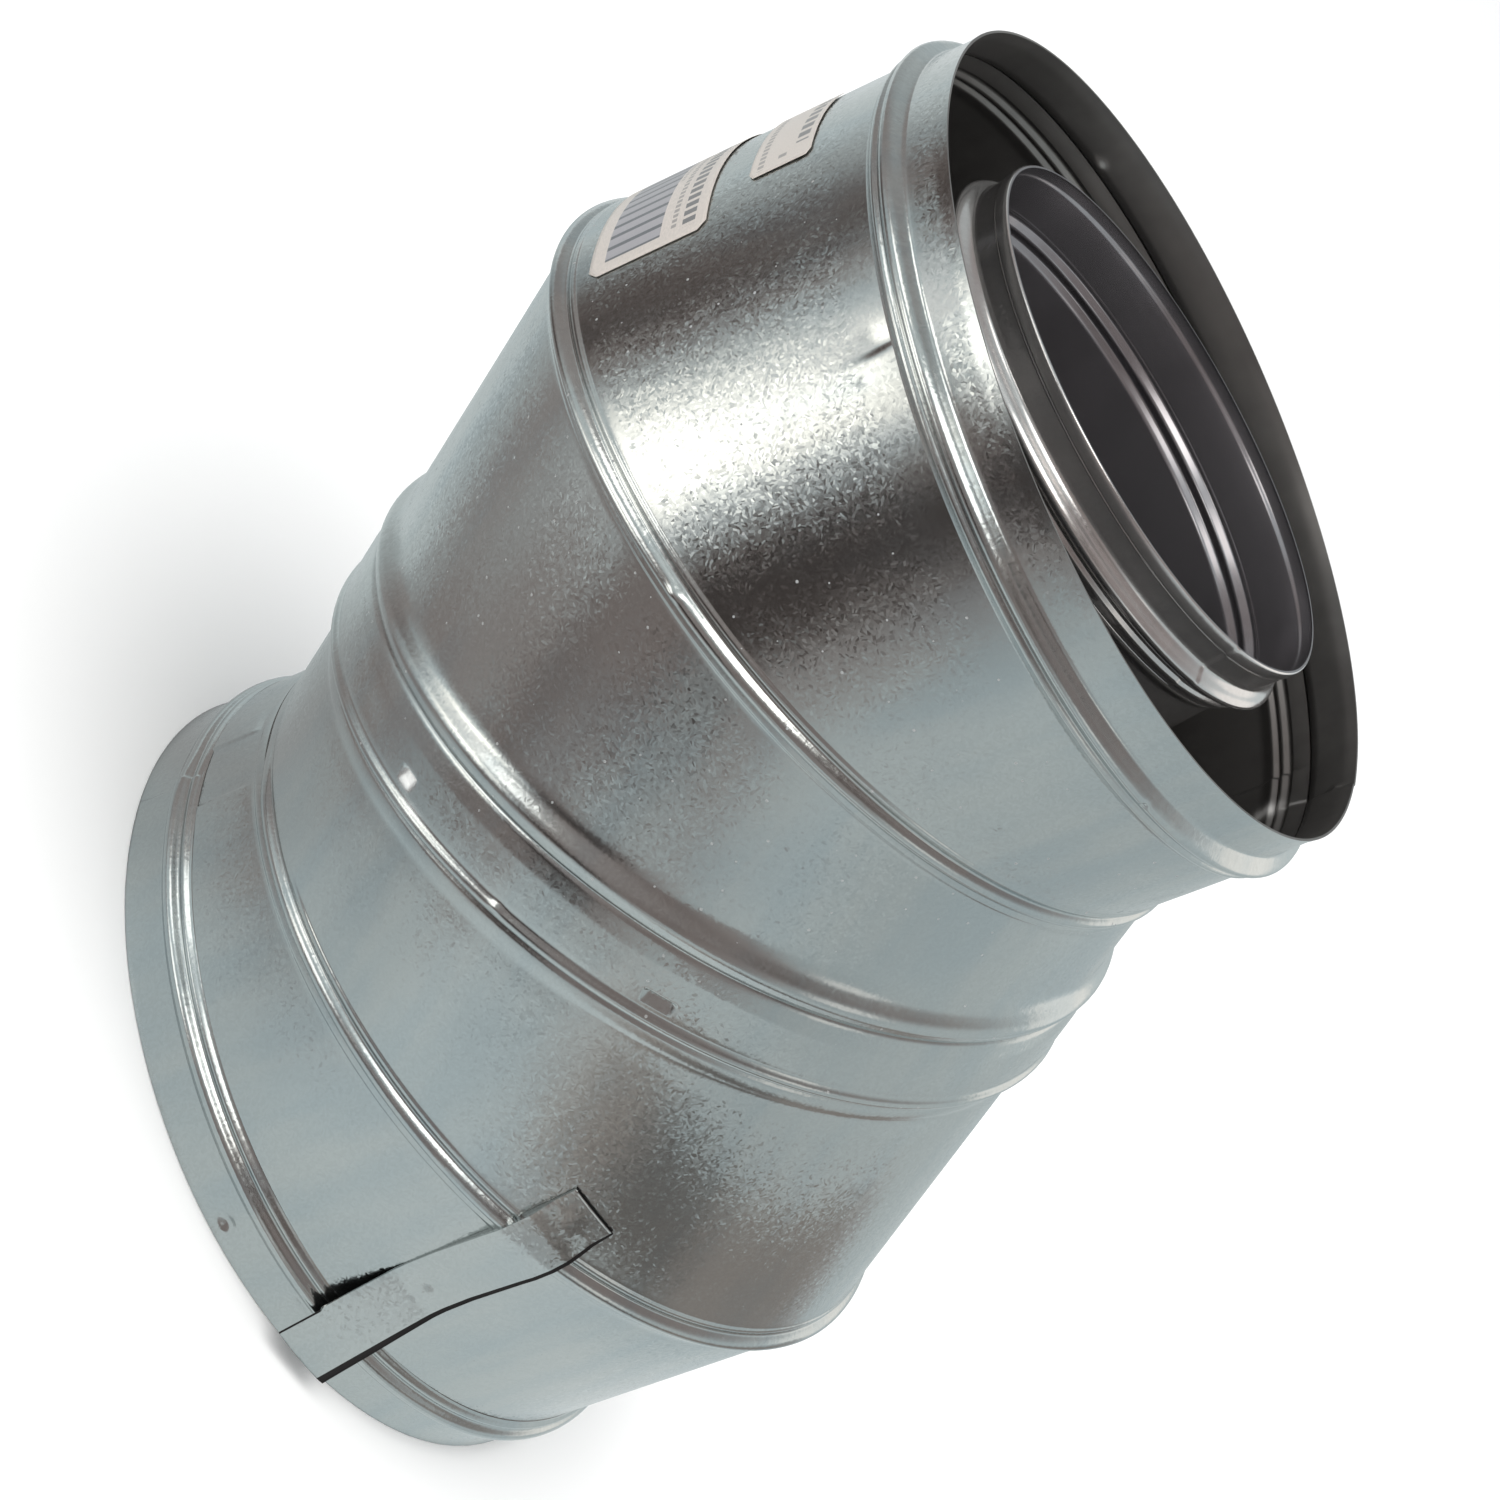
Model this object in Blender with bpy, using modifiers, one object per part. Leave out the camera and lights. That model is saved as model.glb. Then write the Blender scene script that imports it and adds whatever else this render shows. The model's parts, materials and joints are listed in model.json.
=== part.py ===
"""Coaxial flue elbow: a liner inside a galvanised shell, each made of two mitred halves.

The halves meet in a swivel joint whose axis leans from the end axes by one mitre bend.
Units are metres, +Z is up, and the part stands on its lower rim.
The origin is the bottom centre of the part's bounding box.
"""

import math

import bmesh
import bpy
from mathutils import Matrix, Vector

# --- driving dimensions -----------------------------------------------------------------
SHELL_R = 0.1016          # outer radius of the plain shell gores (8 in nominal)
SHELL_WALL = 0.0006
LINER_R = 0.0645          # outer radius of the plain liner gores (5 in nominal bore)
LINER_WALL = 0.0005
BEND = math.radians(30.0)  # bend at each mitre, in the XZ plane
LOWER_HEIGHT = 0.0654     # lower rim to the lower mitre, along the axis
SWIVEL_RUN = 0.1461       # lower mitre to upper mitre, along the swivel axis
UPPER_HEIGHT = 0.0769     # upper mitre to upper rim, along the axis
STEPS = 40                # sides of every turned piece
GAP = 0.0003              # clearance between pieces that touch

COLLAR_HEIGHT = 0.0193    # rim to lapped edge of a shell collar
LOWER_CREST = 0.0034      # rise of the lower collar's bead over the plain shell
UPPER_CREST = 0.0027
COLLAR_TUCK = 0.0132      # rim to the hidden end of the gore inside the collar
SEAM_RISE = 0.0016        # height of a shell mitre seam bead
SEAM_HALF = 0.0019        # half width of a mitre seam bead, along the axis
LINER_SEAM_RISE = 0.0012

SWIVEL_AT = 0.0660        # middle of the swivel joint, from the lower mitre
BAND_FOOT = 0.0630        # lower lip of the swivel band, from the lower mitre
BAND_TOP = 0.0813

LINER_RUN = 0.1344        # lower mitre to the liner's upper mitre
LINER_TOP_RUN = 0.0879    # liner's upper mitre to its socket rim
LINER_LEAN_X = math.radians(5.3)   # the loosely held liner top leans off the shell axis
LINER_LEAN_Y = math.radians(-2.9)
LINER_FOOT = 0.0030       # liner spigot edge above the lower rim
LINER_COLLAR_HEIGHT = 0.0200
LINER_COLLAR_TUCK = 0.0150

STRAP_ANGLE = math.radians(104.7)  # bearing of the strap's middle about the lower axis
STRAP_SKEW = math.radians(1.8)     # how much further round its foot lies than its top end
STRAP_WIDTH = 0.0150
STRAP_WALL = 0.0008
STRAP_TOP = 0.0908
STRAP_FOOT = 0.0050
STRAP_SPRING = 0.00735    # how far the strap's free foot stands off the shell

SPACER_WIDTH = 0.0120
SPACER_WALL = 0.0008
SPACER_FOOT = 0.0120      # length of each spacer foot
SPACER_RISE = 0.0180      # whole height of a spacer
LOWER_SPACER_Z = 0.0245
LOWER_SPACER_ANGLES = (60.0, 180.0, 300.0)
UPPER_SPACER_Z = 0.0360   # above the upper mitre centre
UPPER_SPACER_ANGLES = (118.0, 238.0, 358.0)

LABEL_WALL = 0.0002

OFFSET = SWIVEL_RUN * math.sin(BEND)   # sideways step between the two end axes

# the strap's foot and the unequal beads set where the bounding box's centre falls
STRAP_REACH = (SHELL_R + STRAP_SPRING + STRAP_WALL) * math.sin(
    STRAP_ANGLE + STRAP_SKEW / 2 - STRAP_WIDTH / 2 / SHELL_R
)
CENTRE_X = (LOWER_CREST - UPPER_CREST - OFFSET) / 2
CENTRE_Y = (SHELL_R + LOWER_CREST - STRAP_REACH) / 2


# finishes: colour, roughness, metallic
ZINC = ((0.56, 0.59, 0.59), 0.34, 1.0)
LINER_METAL = ((0.38, 0.38, 0.39), 0.24, 1.0)
STRIP = ((0.50, 0.51, 0.52), 0.40, 1.0)
PAPER = ((0.80, 0.79, 0.74), 0.60, 0.0)


# --- scene set-up ------------------------------------------------------------------------
def clear_scene():
    for thing in list(bpy.data.objects):
        bpy.data.objects.remove(thing, do_unlink=True)


def new_collection(name):
    group = bpy.data.collections.new(name)
    bpy.context.scene.collection.children.link(group)
    return group


def material(name, colour, roughness, metallic):
    """A Principled material for one piece."""
    made = bpy.data.materials.new(name)
    made.use_nodes = True
    shader = made.node_tree.nodes["Principled BSDF"]
    shader.inputs["Base Color"].default_value = (*colour, 1.0)
    shader.inputs["Roughness"].default_value = roughness
    shader.inputs["Metallic"].default_value = metallic
    return made


def frame_empty(name, parent, location, rotation):
    """An axis frame that pieces hang on; its local Z is the axis of those pieces."""
    empty = bpy.data.objects.new(name, None)
    PARTS.objects.link(empty)
    empty.parent = parent
    empty.rotation_mode = "QUATERNION"
    empty.location = location
    empty.rotation_quaternion = rotation
    return empty


def place(piece, parent, finish):
    PARTS.objects.link(piece)
    piece.parent = parent
    piece.data.materials.append(material(piece.name + "_finish", *finish))
    return piece


# --- shape helpers -----------------------------------------------------------------------
def wall_loop(outer, thickness):
    """Close an outer profile, given top to bottom, into the section of a thin wall."""
    inner = [(radius - thickness, height) for radius, height in reversed(outer)]
    return list(outer) + inner


def turned(name, outer, thickness, parent, finish):
    """A ring turned from its wall section about the parent frame's Z axis."""
    section = wall_loop(outer, thickness)
    count = len(section)
    mesh = bpy.data.meshes.new(name)
    corners = [(radius, 0.0, height) for radius, height in section]
    edges = [(i, (i + 1) % count) for i in range(count)]
    mesh.from_pydata(corners, edges, [])
    ring = bpy.data.objects.new(name, mesh)
    screw = ring.modifiers.new("turn", "SCREW")
    screw.axis = "Z"
    screw.angle = math.tau
    screw.steps = STEPS
    screw.render_steps = STEPS
    screw.use_merge_vertices = True
    screw.merge_threshold = 0.00001
    return place(ring, parent, finish)


def bake(piece):
    """Replace a piece's modifiers by the mesh they give."""
    graph = bpy.context.evaluated_depsgraph_get()
    graph.update()
    made = bpy.data.meshes.new_from_object(piece.evaluated_get(graph))
    piece.modifiers.clear()
    piece.data = made
    return made


def shear_to_mitre(piece, normal, straight_z, mitre_z):
    """Slope a turned ring's end onto the plane through the frame origin with this normal.

    Heights up to straight_z stay square; those from mitre_z on follow the plane.
    """
    mesh = bake(piece)
    for corner in mesh.vertices:
        share = (corner.co.z - straight_z) / (mitre_z - straight_z)
        share = min(max(share, 0.0), 1.0)
        rise = -(normal.x * corner.co.x + normal.y * corner.co.y) / normal.z
        corner.co.z += share * rise
    mesh.update()


def smooth(piece):
    piece.data.shade_smooth()
    piece.data.set_sharp_from_angle(angle=math.radians(32.0))


def seam_above(radius, rise):
    """Profile points of the half seam bead at a gore's lower end, top to bottom."""
    half = GAP / 2
    return [
        (radius, SEAM_HALF),
        (radius + 0.75 * rise, 0.55 * SEAM_HALF),
        (radius + rise, half),
    ]


def seam_below(radius, rise, at):
    """Profile points of the half seam bead at a gore's upper end, top to bottom."""
    lifted = [(r, at - z) for r, z in seam_above(radius, rise)]
    return lifted[::-1]


# --- where the shell surface lies, for the strap ------------------------------------------
def shell_reach(bearing, height):
    """Radius of the lower shell about the lower axis at a bearing and a height."""
    mitre = LOWER_HEIGHT - math.tan(BEND / 2) * SHELL_R * math.cos(bearing)
    if height <= mitre:
        return SHELL_R
    drift = (height - LOWER_HEIGHT) * math.tan(BEND)
    squash = math.cos(BEND)
    # the tilted gore cut level is an ellipse, narrowed across X by the squash factor
    a = (squash * math.cos(bearing)) ** 2 + math.sin(bearing) ** 2
    b = -2.0 * squash ** 2 * drift * math.cos(bearing)
    c = (squash * drift) ** 2 - SHELL_R ** 2
    return (-b + math.sqrt(b * b - 4.0 * a * c)) / (2.0 * a)


def eased(height, stations):
    """Linear reading of a list of (height, value) stations, highest first."""
    for (high, first), (low, second) in zip(stations, stations[1:]):
        if height >= low:
            share = (high - height) / (high - low)
            return first + min(max(share, 0.0), 1.0) * (second - first)
    return stations[-1][1]


# --- outer shell --------------------------------------------------------------------------
def lower_shell_collar():
    """Socket collar: flared rim, neck, round bead, and a lap over the end gore."""
    r = SHELL_R
    outer = [
        (r + 0.0009, COLLAR_HEIGHT),
        (r + 0.0010, 0.0172),
        (r + 0.0029, 0.0158),
        (r + LOWER_CREST, 0.0142),
        (r + 0.0024, 0.0125),
        (r + 0.0004, 0.0112),
        (r + 0.0002, 0.0035),
        (r + 0.0007, 0.0),
    ]
    return turned("lower_shell_collar", outer, SHELL_WALL, LOWER_END, ZINC)


def upper_shell_collar():
    """Spigot collar: the same form upside down, a little smaller, to enter a socket."""
    r = SHELL_R
    top = UPPER_HEIGHT
    outer = [
        (r - 0.0011, top),
        (r - 0.0014, top - 0.0030),
        (r - 0.0011, top - 0.0112),
        (r + 0.0014, top - 0.0125),
        (r + UPPER_CREST, top - 0.0142),
        (r + 0.0024, top - 0.0158),
        (r + 0.0010, top - 0.0172),
        (r + 0.0009, top - COLLAR_HEIGHT),
    ]
    return turned("upper_shell_collar", outer, SHELL_WALL, UPPER_END, ZINC)


def lower_end_gore(plane):
    r = SHELL_R
    outer = seam_below(r, SEAM_RISE, LOWER_HEIGHT) + [(r, 0.0200), (r, COLLAR_TUCK)]
    gore = turned("lower_end_gore", outer, SHELL_WALL, LOWER_END, ZINC)
    shear_to_mitre(gore, plane, 0.0200, LOWER_HEIGHT - SEAM_HALF)
    return gore


def lower_swivel_gore(plane):
    """Runs from the lower mitre up to the neck and bead that the swivel band holds."""
    r = SHELL_R
    outer = [
        (r - 0.0004, 0.0692),
        (r - 0.0004, 0.0682),
        (r + 0.0009, 0.0669),
        (r - 0.0003, 0.0653),
        (r - 0.0003, 0.0624),
        (r + 0.0007, 0.0613),
        (r + 0.0007, 0.0585),
        (r - 0.0004, 0.0570),
        (r, 0.0520),
    ] + seam_above(r, SEAM_RISE)
    gore = turned("lower_swivel_gore", outer, SHELL_WALL, SWIVEL_FOOT, ZINC)
    shear_to_mitre(gore, plane, 0.0520, SEAM_HALF)
    return gore


def swivel_band():
    """Ring clinched round the upper swivel gore; its lip runs under the lower gore's bead."""
    r = SHELL_R
    outer = [
        (r + 0.0019, BAND_TOP),
        (r + 0.0022, 0.0780),
        (r + 0.0023, 0.0715),
        (r + 0.0022, 0.0672),
        (r + 0.0025, 0.0652),
        (r + 0.0010, BAND_FOOT),
    ]
    return turned("swivel_band", outer, SHELL_WALL, SWIVEL_FOOT_UP, ZINC)


def upper_swivel_gore(plane):
    r = SHELL_R
    outer = seam_below(r, SEAM_RISE, SWIVEL_RUN) + [
        (r, 0.0965),
        (r + 0.0004, 0.0940),
        (r + 0.0022, 0.0912),
        (r + 0.0029, 0.0886),
        (r + 0.0020, 0.0860),
        (r + 0.0007, 0.0840),
        (r + 0.0006, 0.0712),
    ]
    gore = turned("upper_swivel_gore", outer, SHELL_WALL, SWIVEL_FOOT_UP, ZINC)
    above_plane = SWIVEL_RUN - SEAM_HALF
    shear_to_mitre(gore, plane, 0.0965, above_plane)
    return gore


def upper_end_gore(plane):
    r = SHELL_R
    square_z = UPPER_HEIGHT - 0.0200
    outer = [(r, UPPER_HEIGHT - COLLAR_TUCK), (r, square_z)] + seam_above(r, SEAM_RISE)
    gore = turned("upper_end_gore", outer, SHELL_WALL, UPPER_END, ZINC)
    shear_to_mitre(gore, plane, square_z, SEAM_HALF)
    return gore


# --- liner --------------------------------------------------------------------------------
def lower_liner_collar():
    """Spigot end of the liner: a plain nose below a small bead."""
    r = LINER_R
    foot = LINER_FOOT
    outer = [
        (r + 0.0009, foot + 0.0190),
        (r + 0.0010, foot + 0.0172),
        (r + 0.0026, foot + 0.0150),
        (r + 0.0010, foot + 0.0128),
        (r + 0.0004, foot + 0.0115),
        (r + 0.0004, foot),
    ]
    return turned("lower_liner_collar", outer, LINER_WALL, LOWER_END, LINER_METAL)


def lower_liner_gore(plane):
    r = LINER_R
    foot = LINER_FOOT + 0.0140
    square_z = LINER_FOOT + 0.0200
    outer = seam_below(r, LINER_SEAM_RISE, LOWER_HEIGHT) + [(r, square_z), (r, foot)]
    gore = turned("lower_liner_gore", outer, LINER_WALL, LOWER_END, LINER_METAL)
    shear_to_mitre(gore, plane, square_z, LOWER_HEIGHT - SEAM_HALF)
    return gore


def lower_liner_swivel(plane):
    """Liner gore whose necked top turns inside the upper liner's skirt."""
    r = LINER_R
    outer = [
        (r - 0.0013, 0.0720),
        (r - 0.0013, 0.0690),
        (r - 0.0007, 0.0675),
        (r - 0.0013, 0.0660),
        (r - 0.0013, 0.0625),
        (r, 0.0610),
        (r, 0.0520),
    ] + seam_above(r, LINER_SEAM_RISE)
    gore = turned("lower_liner_swivel", outer, LINER_WALL, SWIVEL_FOOT, LINER_METAL)
    shear_to_mitre(gore, plane, 0.0520, SEAM_HALF)
    return gore


def upper_liner_swivel(plane):
    r = LINER_R
    outer = seam_below(r, LINER_SEAM_RISE, LINER_RUN) + [
        (r, 0.0900),
        (r, 0.0780),
        (r + 0.0004, 0.0765),
        (r + 0.0004, 0.0658),
        (r - 0.0003, 0.0636),
    ]
    gore = turned("upper_liner_swivel", outer, LINER_WALL, SWIVEL_FOOT_UP, LINER_METAL)
    shear_to_mitre(gore, plane, 0.0900, LINER_RUN - SEAM_HALF)
    return gore


def upper_liner_gore(plane):
    r = LINER_R
    square_z = LINER_TOP_RUN - 0.0260
    outer = [(r, LINER_TOP_RUN - LINER_COLLAR_TUCK), (r, square_z)]
    outer += seam_above(r, LINER_SEAM_RISE)
    gore = turned("upper_liner_gore", outer, LINER_WALL, LINER_END, LINER_METAL)
    shear_to_mitre(gore, plane, square_z, SEAM_HALF)
    return gore


def upper_liner_collar():
    """Socket end of the liner: hemmed rim, wide neck, tall bead, lap over the gore."""
    r = LINER_R
    top = LINER_TOP_RUN
    outer = [
        (r + 0.0018, top),
        (r + 0.0016, top - 0.0100),
        (r + 0.0042, top - 0.0120),
        (r + 0.0050, top - 0.0137),
        (r + 0.0036, top - 0.0155),
        (r + 0.0009, top - 0.0172),
        (r + 0.0009, top - LINER_COLLAR_HEIGHT),
    ]
    return turned("upper_liner_collar", outer, LINER_WALL, LINER_END, LINER_METAL)


# --- strap, spacers and labels ------------------------------------------------------------
def support_strap():
    """Flat strip welded to the lower shell; its free foot springs clear of the collar."""
    lifts = [
        (STRAP_TOP, GAP + 0.0001),
        (0.0850, GAP + 0.0001),
        (0.0800, 0.0022),
        (0.0660, 0.0022),
        (0.0480, GAP + 0.0001),
        (0.0400, GAP + 0.0001),
        (STRAP_FOOT, STRAP_SPRING),
    ]
    strap = flat_grid("support_strap", 4, 20)
    half_length = (STRAP_TOP - STRAP_FOOT) / 2
    for corner in strap.data.vertices:
        height = STRAP_FOOT + half_length * (corner.co.y + 1.0)
        bearing = STRAP_ANGLE - corner.co.y * STRAP_SKEW / 2 + corner.co.x * STRAP_WIDTH / 2 / SHELL_R
        radius = shell_reach(bearing, height) + eased(height, lifts)
        corner.co = (radius * math.cos(bearing), radius * math.sin(bearing), height)
    face_outward(strap.data)
    thicken = strap.modifiers.new("sheet", "SOLIDIFY")
    thicken.thickness = STRAP_WALL
    thicken.offset = 1.0
    place(strap, LOWER_END, ZINC)
    return strap


def flat_grid(name, columns, rows):
    """A flat sheet two units across each way, divided into cells."""
    build = bmesh.new()
    bmesh.ops.create_grid(build, x_segments=columns, y_segments=rows, size=1.0)
    mesh = bpy.data.meshes.new(name)
    build.to_mesh(mesh)
    build.free()
    return bpy.data.objects.new(name, mesh)


def face_outward(mesh):
    """Turn every face of an open sheet away from the local Z axis."""
    build = bmesh.new()
    build.from_mesh(mesh)
    build.normal_update()
    inward = []
    for face in build.faces:
        middle = face.calc_center_median()
        if face.normal.dot(Vector((middle.x, middle.y, 0.0))) < 0.0:
            inward.append(face)
    bmesh.ops.reverse_faces(build, faces=inward)
    build.to_mesh(mesh)
    build.free()


def strip_outline(path, thickness):
    """Outline of a bent strip seen from the side, half its thickness each way."""
    sides = []
    last = len(path) - 1
    for i, point in enumerate(path):
        before = (point - path[i - 1]).normalized() if i > 0 else None
        after = (path[i + 1] - point).normalized() if i < last else None
        before = before or after
        after = after or before
        across = (Vector((-before.y, before.x)) + Vector((-after.y, after.x))).normalized()
        reach = thickness / 2 / across.dot(Vector((-after.y, after.x)))
        sides.append((point + across * reach, point - across * reach))
    return [left for left, _ in sides] + [right for _, right in reversed(sides)]


def spacer(name, parent, bearing, foot_z, inner_r):
    """Z-shaped strip between liner and shell, built in its own radial plane."""
    outer_r = math.sqrt((SHELL_R - SHELL_WALL) ** 2 - (SPACER_WIDTH / 2) ** 2)
    outer_mid = outer_r - 0.0007 - SPACER_WALL / 2
    inner_mid = inner_r + GAP + SPACER_WALL / 2
    path = [
        Vector((outer_mid, foot_z + SPACER_RISE)),
        Vector((outer_mid, foot_z + SPACER_RISE - SPACER_FOOT)),
        Vector((inner_mid, foot_z + SPACER_FOOT)),
        Vector((inner_mid, foot_z)),
    ]
    outline = strip_outline(path, SPACER_WALL)
    shape = bpy.data.curves.new(name, "CURVE")
    shape.dimensions = "2D"
    shape.fill_mode = "BOTH"
    shape.extrude = SPACER_WIDTH / 2
    line = shape.splines.new("POLY")
    line.points.add(len(outline) - 1)
    for point, (along, up) in zip(line.points, outline):
        point.co = (along, up, 0.0, 1.0)
    line.use_cyclic_u = True
    piece = bpy.data.objects.new(name, shape)
    place(piece, parent, STRIP)
    piece.rotation_euler = (math.radians(90.0), 0.0, bearing)
    return piece


def lower_spacers():
    for number, degrees in enumerate(LOWER_SPACER_ANGLES, start=1):
        name = f"lower_spacer_{number}"
        spacer(name, LOWER_END, math.radians(degrees), LOWER_SPACER_Z, LINER_R)


def upper_spacers(liner_axis, liner_rim):
    """The liner leans, so each upper spacer reaches down to where the liner really is."""
    for number, degrees in enumerate(UPPER_SPACER_ANGLES, start=1):
        bearing = math.radians(degrees)
        outward = Vector((math.cos(bearing), math.sin(bearing), 0.0))
        ends = []
        for height in (UPPER_SPACER_Z, UPPER_SPACER_Z + SPACER_FOOT):
            drop = (height - liner_rim.z) / liner_axis.z
            centre = liner_rim + liner_axis * drop
            ends.append(LINER_R + centre.dot(outward))
        name = f"upper_spacer_{number}"
        spacer(name, UPPER_END, bearing, UPPER_SPACER_Z, max(ends) + 0.0004)


def label(name, first_degrees, last_degrees, low_z, high_z):
    """A paper label wrapped on the upper end gore."""
    sticker = flat_grid(name, 12, 1)
    radius = SHELL_R + GAP
    for corner in sticker.data.vertices:
        across = (corner.co.x + 1.0) / 2
        up = (corner.co.y + 1.0) / 2
        bearing = math.radians(first_degrees + across * (last_degrees - first_degrees))
        height = low_z + up * (high_z - low_z)
        corner.co = (radius * math.cos(bearing), radius * math.sin(bearing), height)
    face_outward(sticker.data)
    thicken = sticker.modifiers.new("paper", "SOLIDIFY")
    thicken.thickness = LABEL_WALL
    thicken.offset = 1.0
    return place(sticker, UPPER_END, PAPER)


# --- assembly -----------------------------------------------------------------------------
clear_scene()
PARTS = new_collection("flue_elbow")


LEAN = Matrix.Rotation(BEND, 3, "Y").to_quaternion()
UPRIGHT = Matrix.Rotation(-BEND, 3, "Y").to_quaternion()
LEVEL = Matrix.Identity(3).to_quaternion()

# lower half: fixed frames at the lower rim and at the lower mitre
LOWER_END = frame_empty("lower_end", None, (CENTRE_X, CENTRE_Y, 0.0), LEVEL)
SWIVEL_FOOT = frame_empty("swivel_foot", LOWER_END, (0.0, 0.0, LOWER_HEIGHT), LEAN)

# upper half: everything hangs on the swivel axis, at the middle of the joint
UPPER_HALF = frame_empty("upper_half", SWIVEL_FOOT, (0.0, 0.0, SWIVEL_AT), LEVEL)
SWIVEL_FOOT_UP = frame_empty("swivel_foot_up", UPPER_HALF, (0.0, 0.0, -SWIVEL_AT), LEVEL)
UPPER_END = frame_empty("upper_end", UPPER_HALF, (0.0, 0.0, SWIVEL_RUN - SWIVEL_AT), UPRIGHT)

LINER_AXIS = Vector((math.tan(LINER_LEAN_X), math.tan(LINER_LEAN_Y), 1.0)).normalized()
LINER_TURN = UPRIGHT @ Vector((0.0, 0.0, 1.0)).rotation_difference(LINER_AXIS)
LINER_END = frame_empty("liner_end", UPPER_HALF, (0.0, 0.0, LINER_RUN - SWIVEL_AT), LINER_TURN)

# each mitre plane halves the angle between the two axes that meet there
SWIVEL_AXIS = LEAN @ Vector((0.0, 0.0, 1.0))
LOWER_PLANE = (Vector((0.0, 0.0, 1.0)) + SWIVEL_AXIS).normalized()
LINER_PLANE = (LINER_AXIS + SWIVEL_AXIS).normalized()
TO_SWIVEL = LEAN.inverted()
TO_LINER = (LEAN @ LINER_TURN).inverted()

lower_shell_collar()
lower_end_gore(LOWER_PLANE)
lower_swivel_gore(TO_SWIVEL @ LOWER_PLANE)
upper_swivel_gore(TO_SWIVEL @ LOWER_PLANE)
swivel_band()
upper_end_gore(LOWER_PLANE)
upper_shell_collar()

lower_liner_collar()
lower_liner_gore(LOWER_PLANE)
lower_liner_swivel(TO_SWIVEL @ LOWER_PLANE)
upper_liner_swivel(TO_SWIVEL @ LINER_PLANE)
upper_liner_gore(TO_LINER @ LINER_PLANE)
upper_liner_collar()

support_strap()
lower_spacers()

LINER_MITRE = SWIVEL_AXIS * LINER_RUN
SHELL_MITRE = SWIVEL_AXIS * SWIVEL_RUN
upper_spacers(LINER_AXIS, LINER_MITRE + LINER_AXIS * LINER_TOP_RUN - SHELL_MITRE)

label("label_large", -19.0, 23.5, -0.0161, 0.0154)
label("label_small", -5.0, 17.5, 0.0256, 0.0419)

for thing in PARTS.objects:
    if thing.type == "MESH":
        smooth(thing)
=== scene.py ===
"""Looks of the coaxial flue elbow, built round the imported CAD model.

Every sheet-metal node is stood for by a finely turned ring of the same size, with its beads,
seams, dents and marks in real geometry. Lengths in the tables below are millimetres.
"""

import json
import math

import bmesh
import bpy
import numpy as np
from mathutils import Matrix, Vector


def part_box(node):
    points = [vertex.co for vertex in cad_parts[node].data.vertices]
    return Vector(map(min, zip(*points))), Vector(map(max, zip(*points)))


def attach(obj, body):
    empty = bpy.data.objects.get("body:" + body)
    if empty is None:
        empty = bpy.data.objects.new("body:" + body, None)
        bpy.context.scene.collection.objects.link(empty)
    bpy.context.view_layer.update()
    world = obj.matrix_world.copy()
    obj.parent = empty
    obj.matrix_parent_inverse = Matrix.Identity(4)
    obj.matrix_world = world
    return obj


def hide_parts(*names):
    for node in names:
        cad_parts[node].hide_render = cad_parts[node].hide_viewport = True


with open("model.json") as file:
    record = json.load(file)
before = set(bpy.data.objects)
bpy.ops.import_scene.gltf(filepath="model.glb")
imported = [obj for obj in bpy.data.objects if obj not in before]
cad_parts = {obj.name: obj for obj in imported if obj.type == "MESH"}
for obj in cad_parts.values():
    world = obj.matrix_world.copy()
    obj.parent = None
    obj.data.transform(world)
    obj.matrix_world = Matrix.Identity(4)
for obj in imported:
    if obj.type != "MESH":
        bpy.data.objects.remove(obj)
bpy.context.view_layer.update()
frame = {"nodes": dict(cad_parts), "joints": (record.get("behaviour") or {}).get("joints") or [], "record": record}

MM = 0.001
SHELL = 101.6            # outer radius of the plain shell
LINER = 64.5             # outer radius of the plain liner
SHELL_WALL = 0.6
LINER_WALL = 0.5
MITRE = math.tan(math.radians(15.0))   # slope of each shell mitre against its axis
LOWER_HEIGHT = 65.4      # lower rim to lower mitre
SWIVEL_RUN = 146.1       # lower mitre to upper mitre
UPPER_HEIGHT = 76.9      # upper mitre to upper rim
LINER_RUN = 134.4
LINER_TOP_RUN = 87.9


# --- axes, read from the frame --------------------------------------------------------------
def middle(node):
    low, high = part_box(node)
    return (low + high) / 2


class Axis:
    """A local frame whose Z is a pipe axis and whose bearing 0 points towards +X."""

    def __init__(self, origin, axis):
        self.origin = np.array(origin, float)
        self.z = np.array(Vector(axis).normalized(), float)
        side = np.cross(self.z, (1.0, 0.0, 0.0))
        self.y = side / np.linalg.norm(side)
        self.x = np.cross(self.y, self.z)

    def world(self, x, y, z):
        return self.origin + x[..., None] * self.x + y[..., None] * self.y + z[..., None] * self.z

    def slope(self, normal):
        """Rise of a plane with this world normal along local x and y."""
        n = np.array(Vector(normal).normalized(), float)
        return -(n @ self.x) / (n @ self.z), -(n @ self.y) / (n @ self.z)


JOINT = frame["joints"][0]
SWIVEL = Vector(JOINT["axis"]).normalized()
UP = Vector((0.0, 0.0, 1.0))
lower_centre = middle("lower_shell_collar")
upper_centre = middle("upper_shell_collar")
pivot = Vector(JOINT["pos_m"])
lower_mitre = pivot + SWIVEL * ((lower_centre.x - pivot.x) / SWIVEL.x)
upper_mitre = pivot + SWIVEL * ((upper_centre.x - pivot.x) / SWIVEL.x)
liner_mitre = lower_mitre + SWIVEL * LINER_RUN * MM
liner_rim = next(m for m in frame["record"]["mounts"] if m["name"] == "upper_liner_rim")
LINER_UP = Vector(liner_rim["axis"]).normalized()

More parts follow.
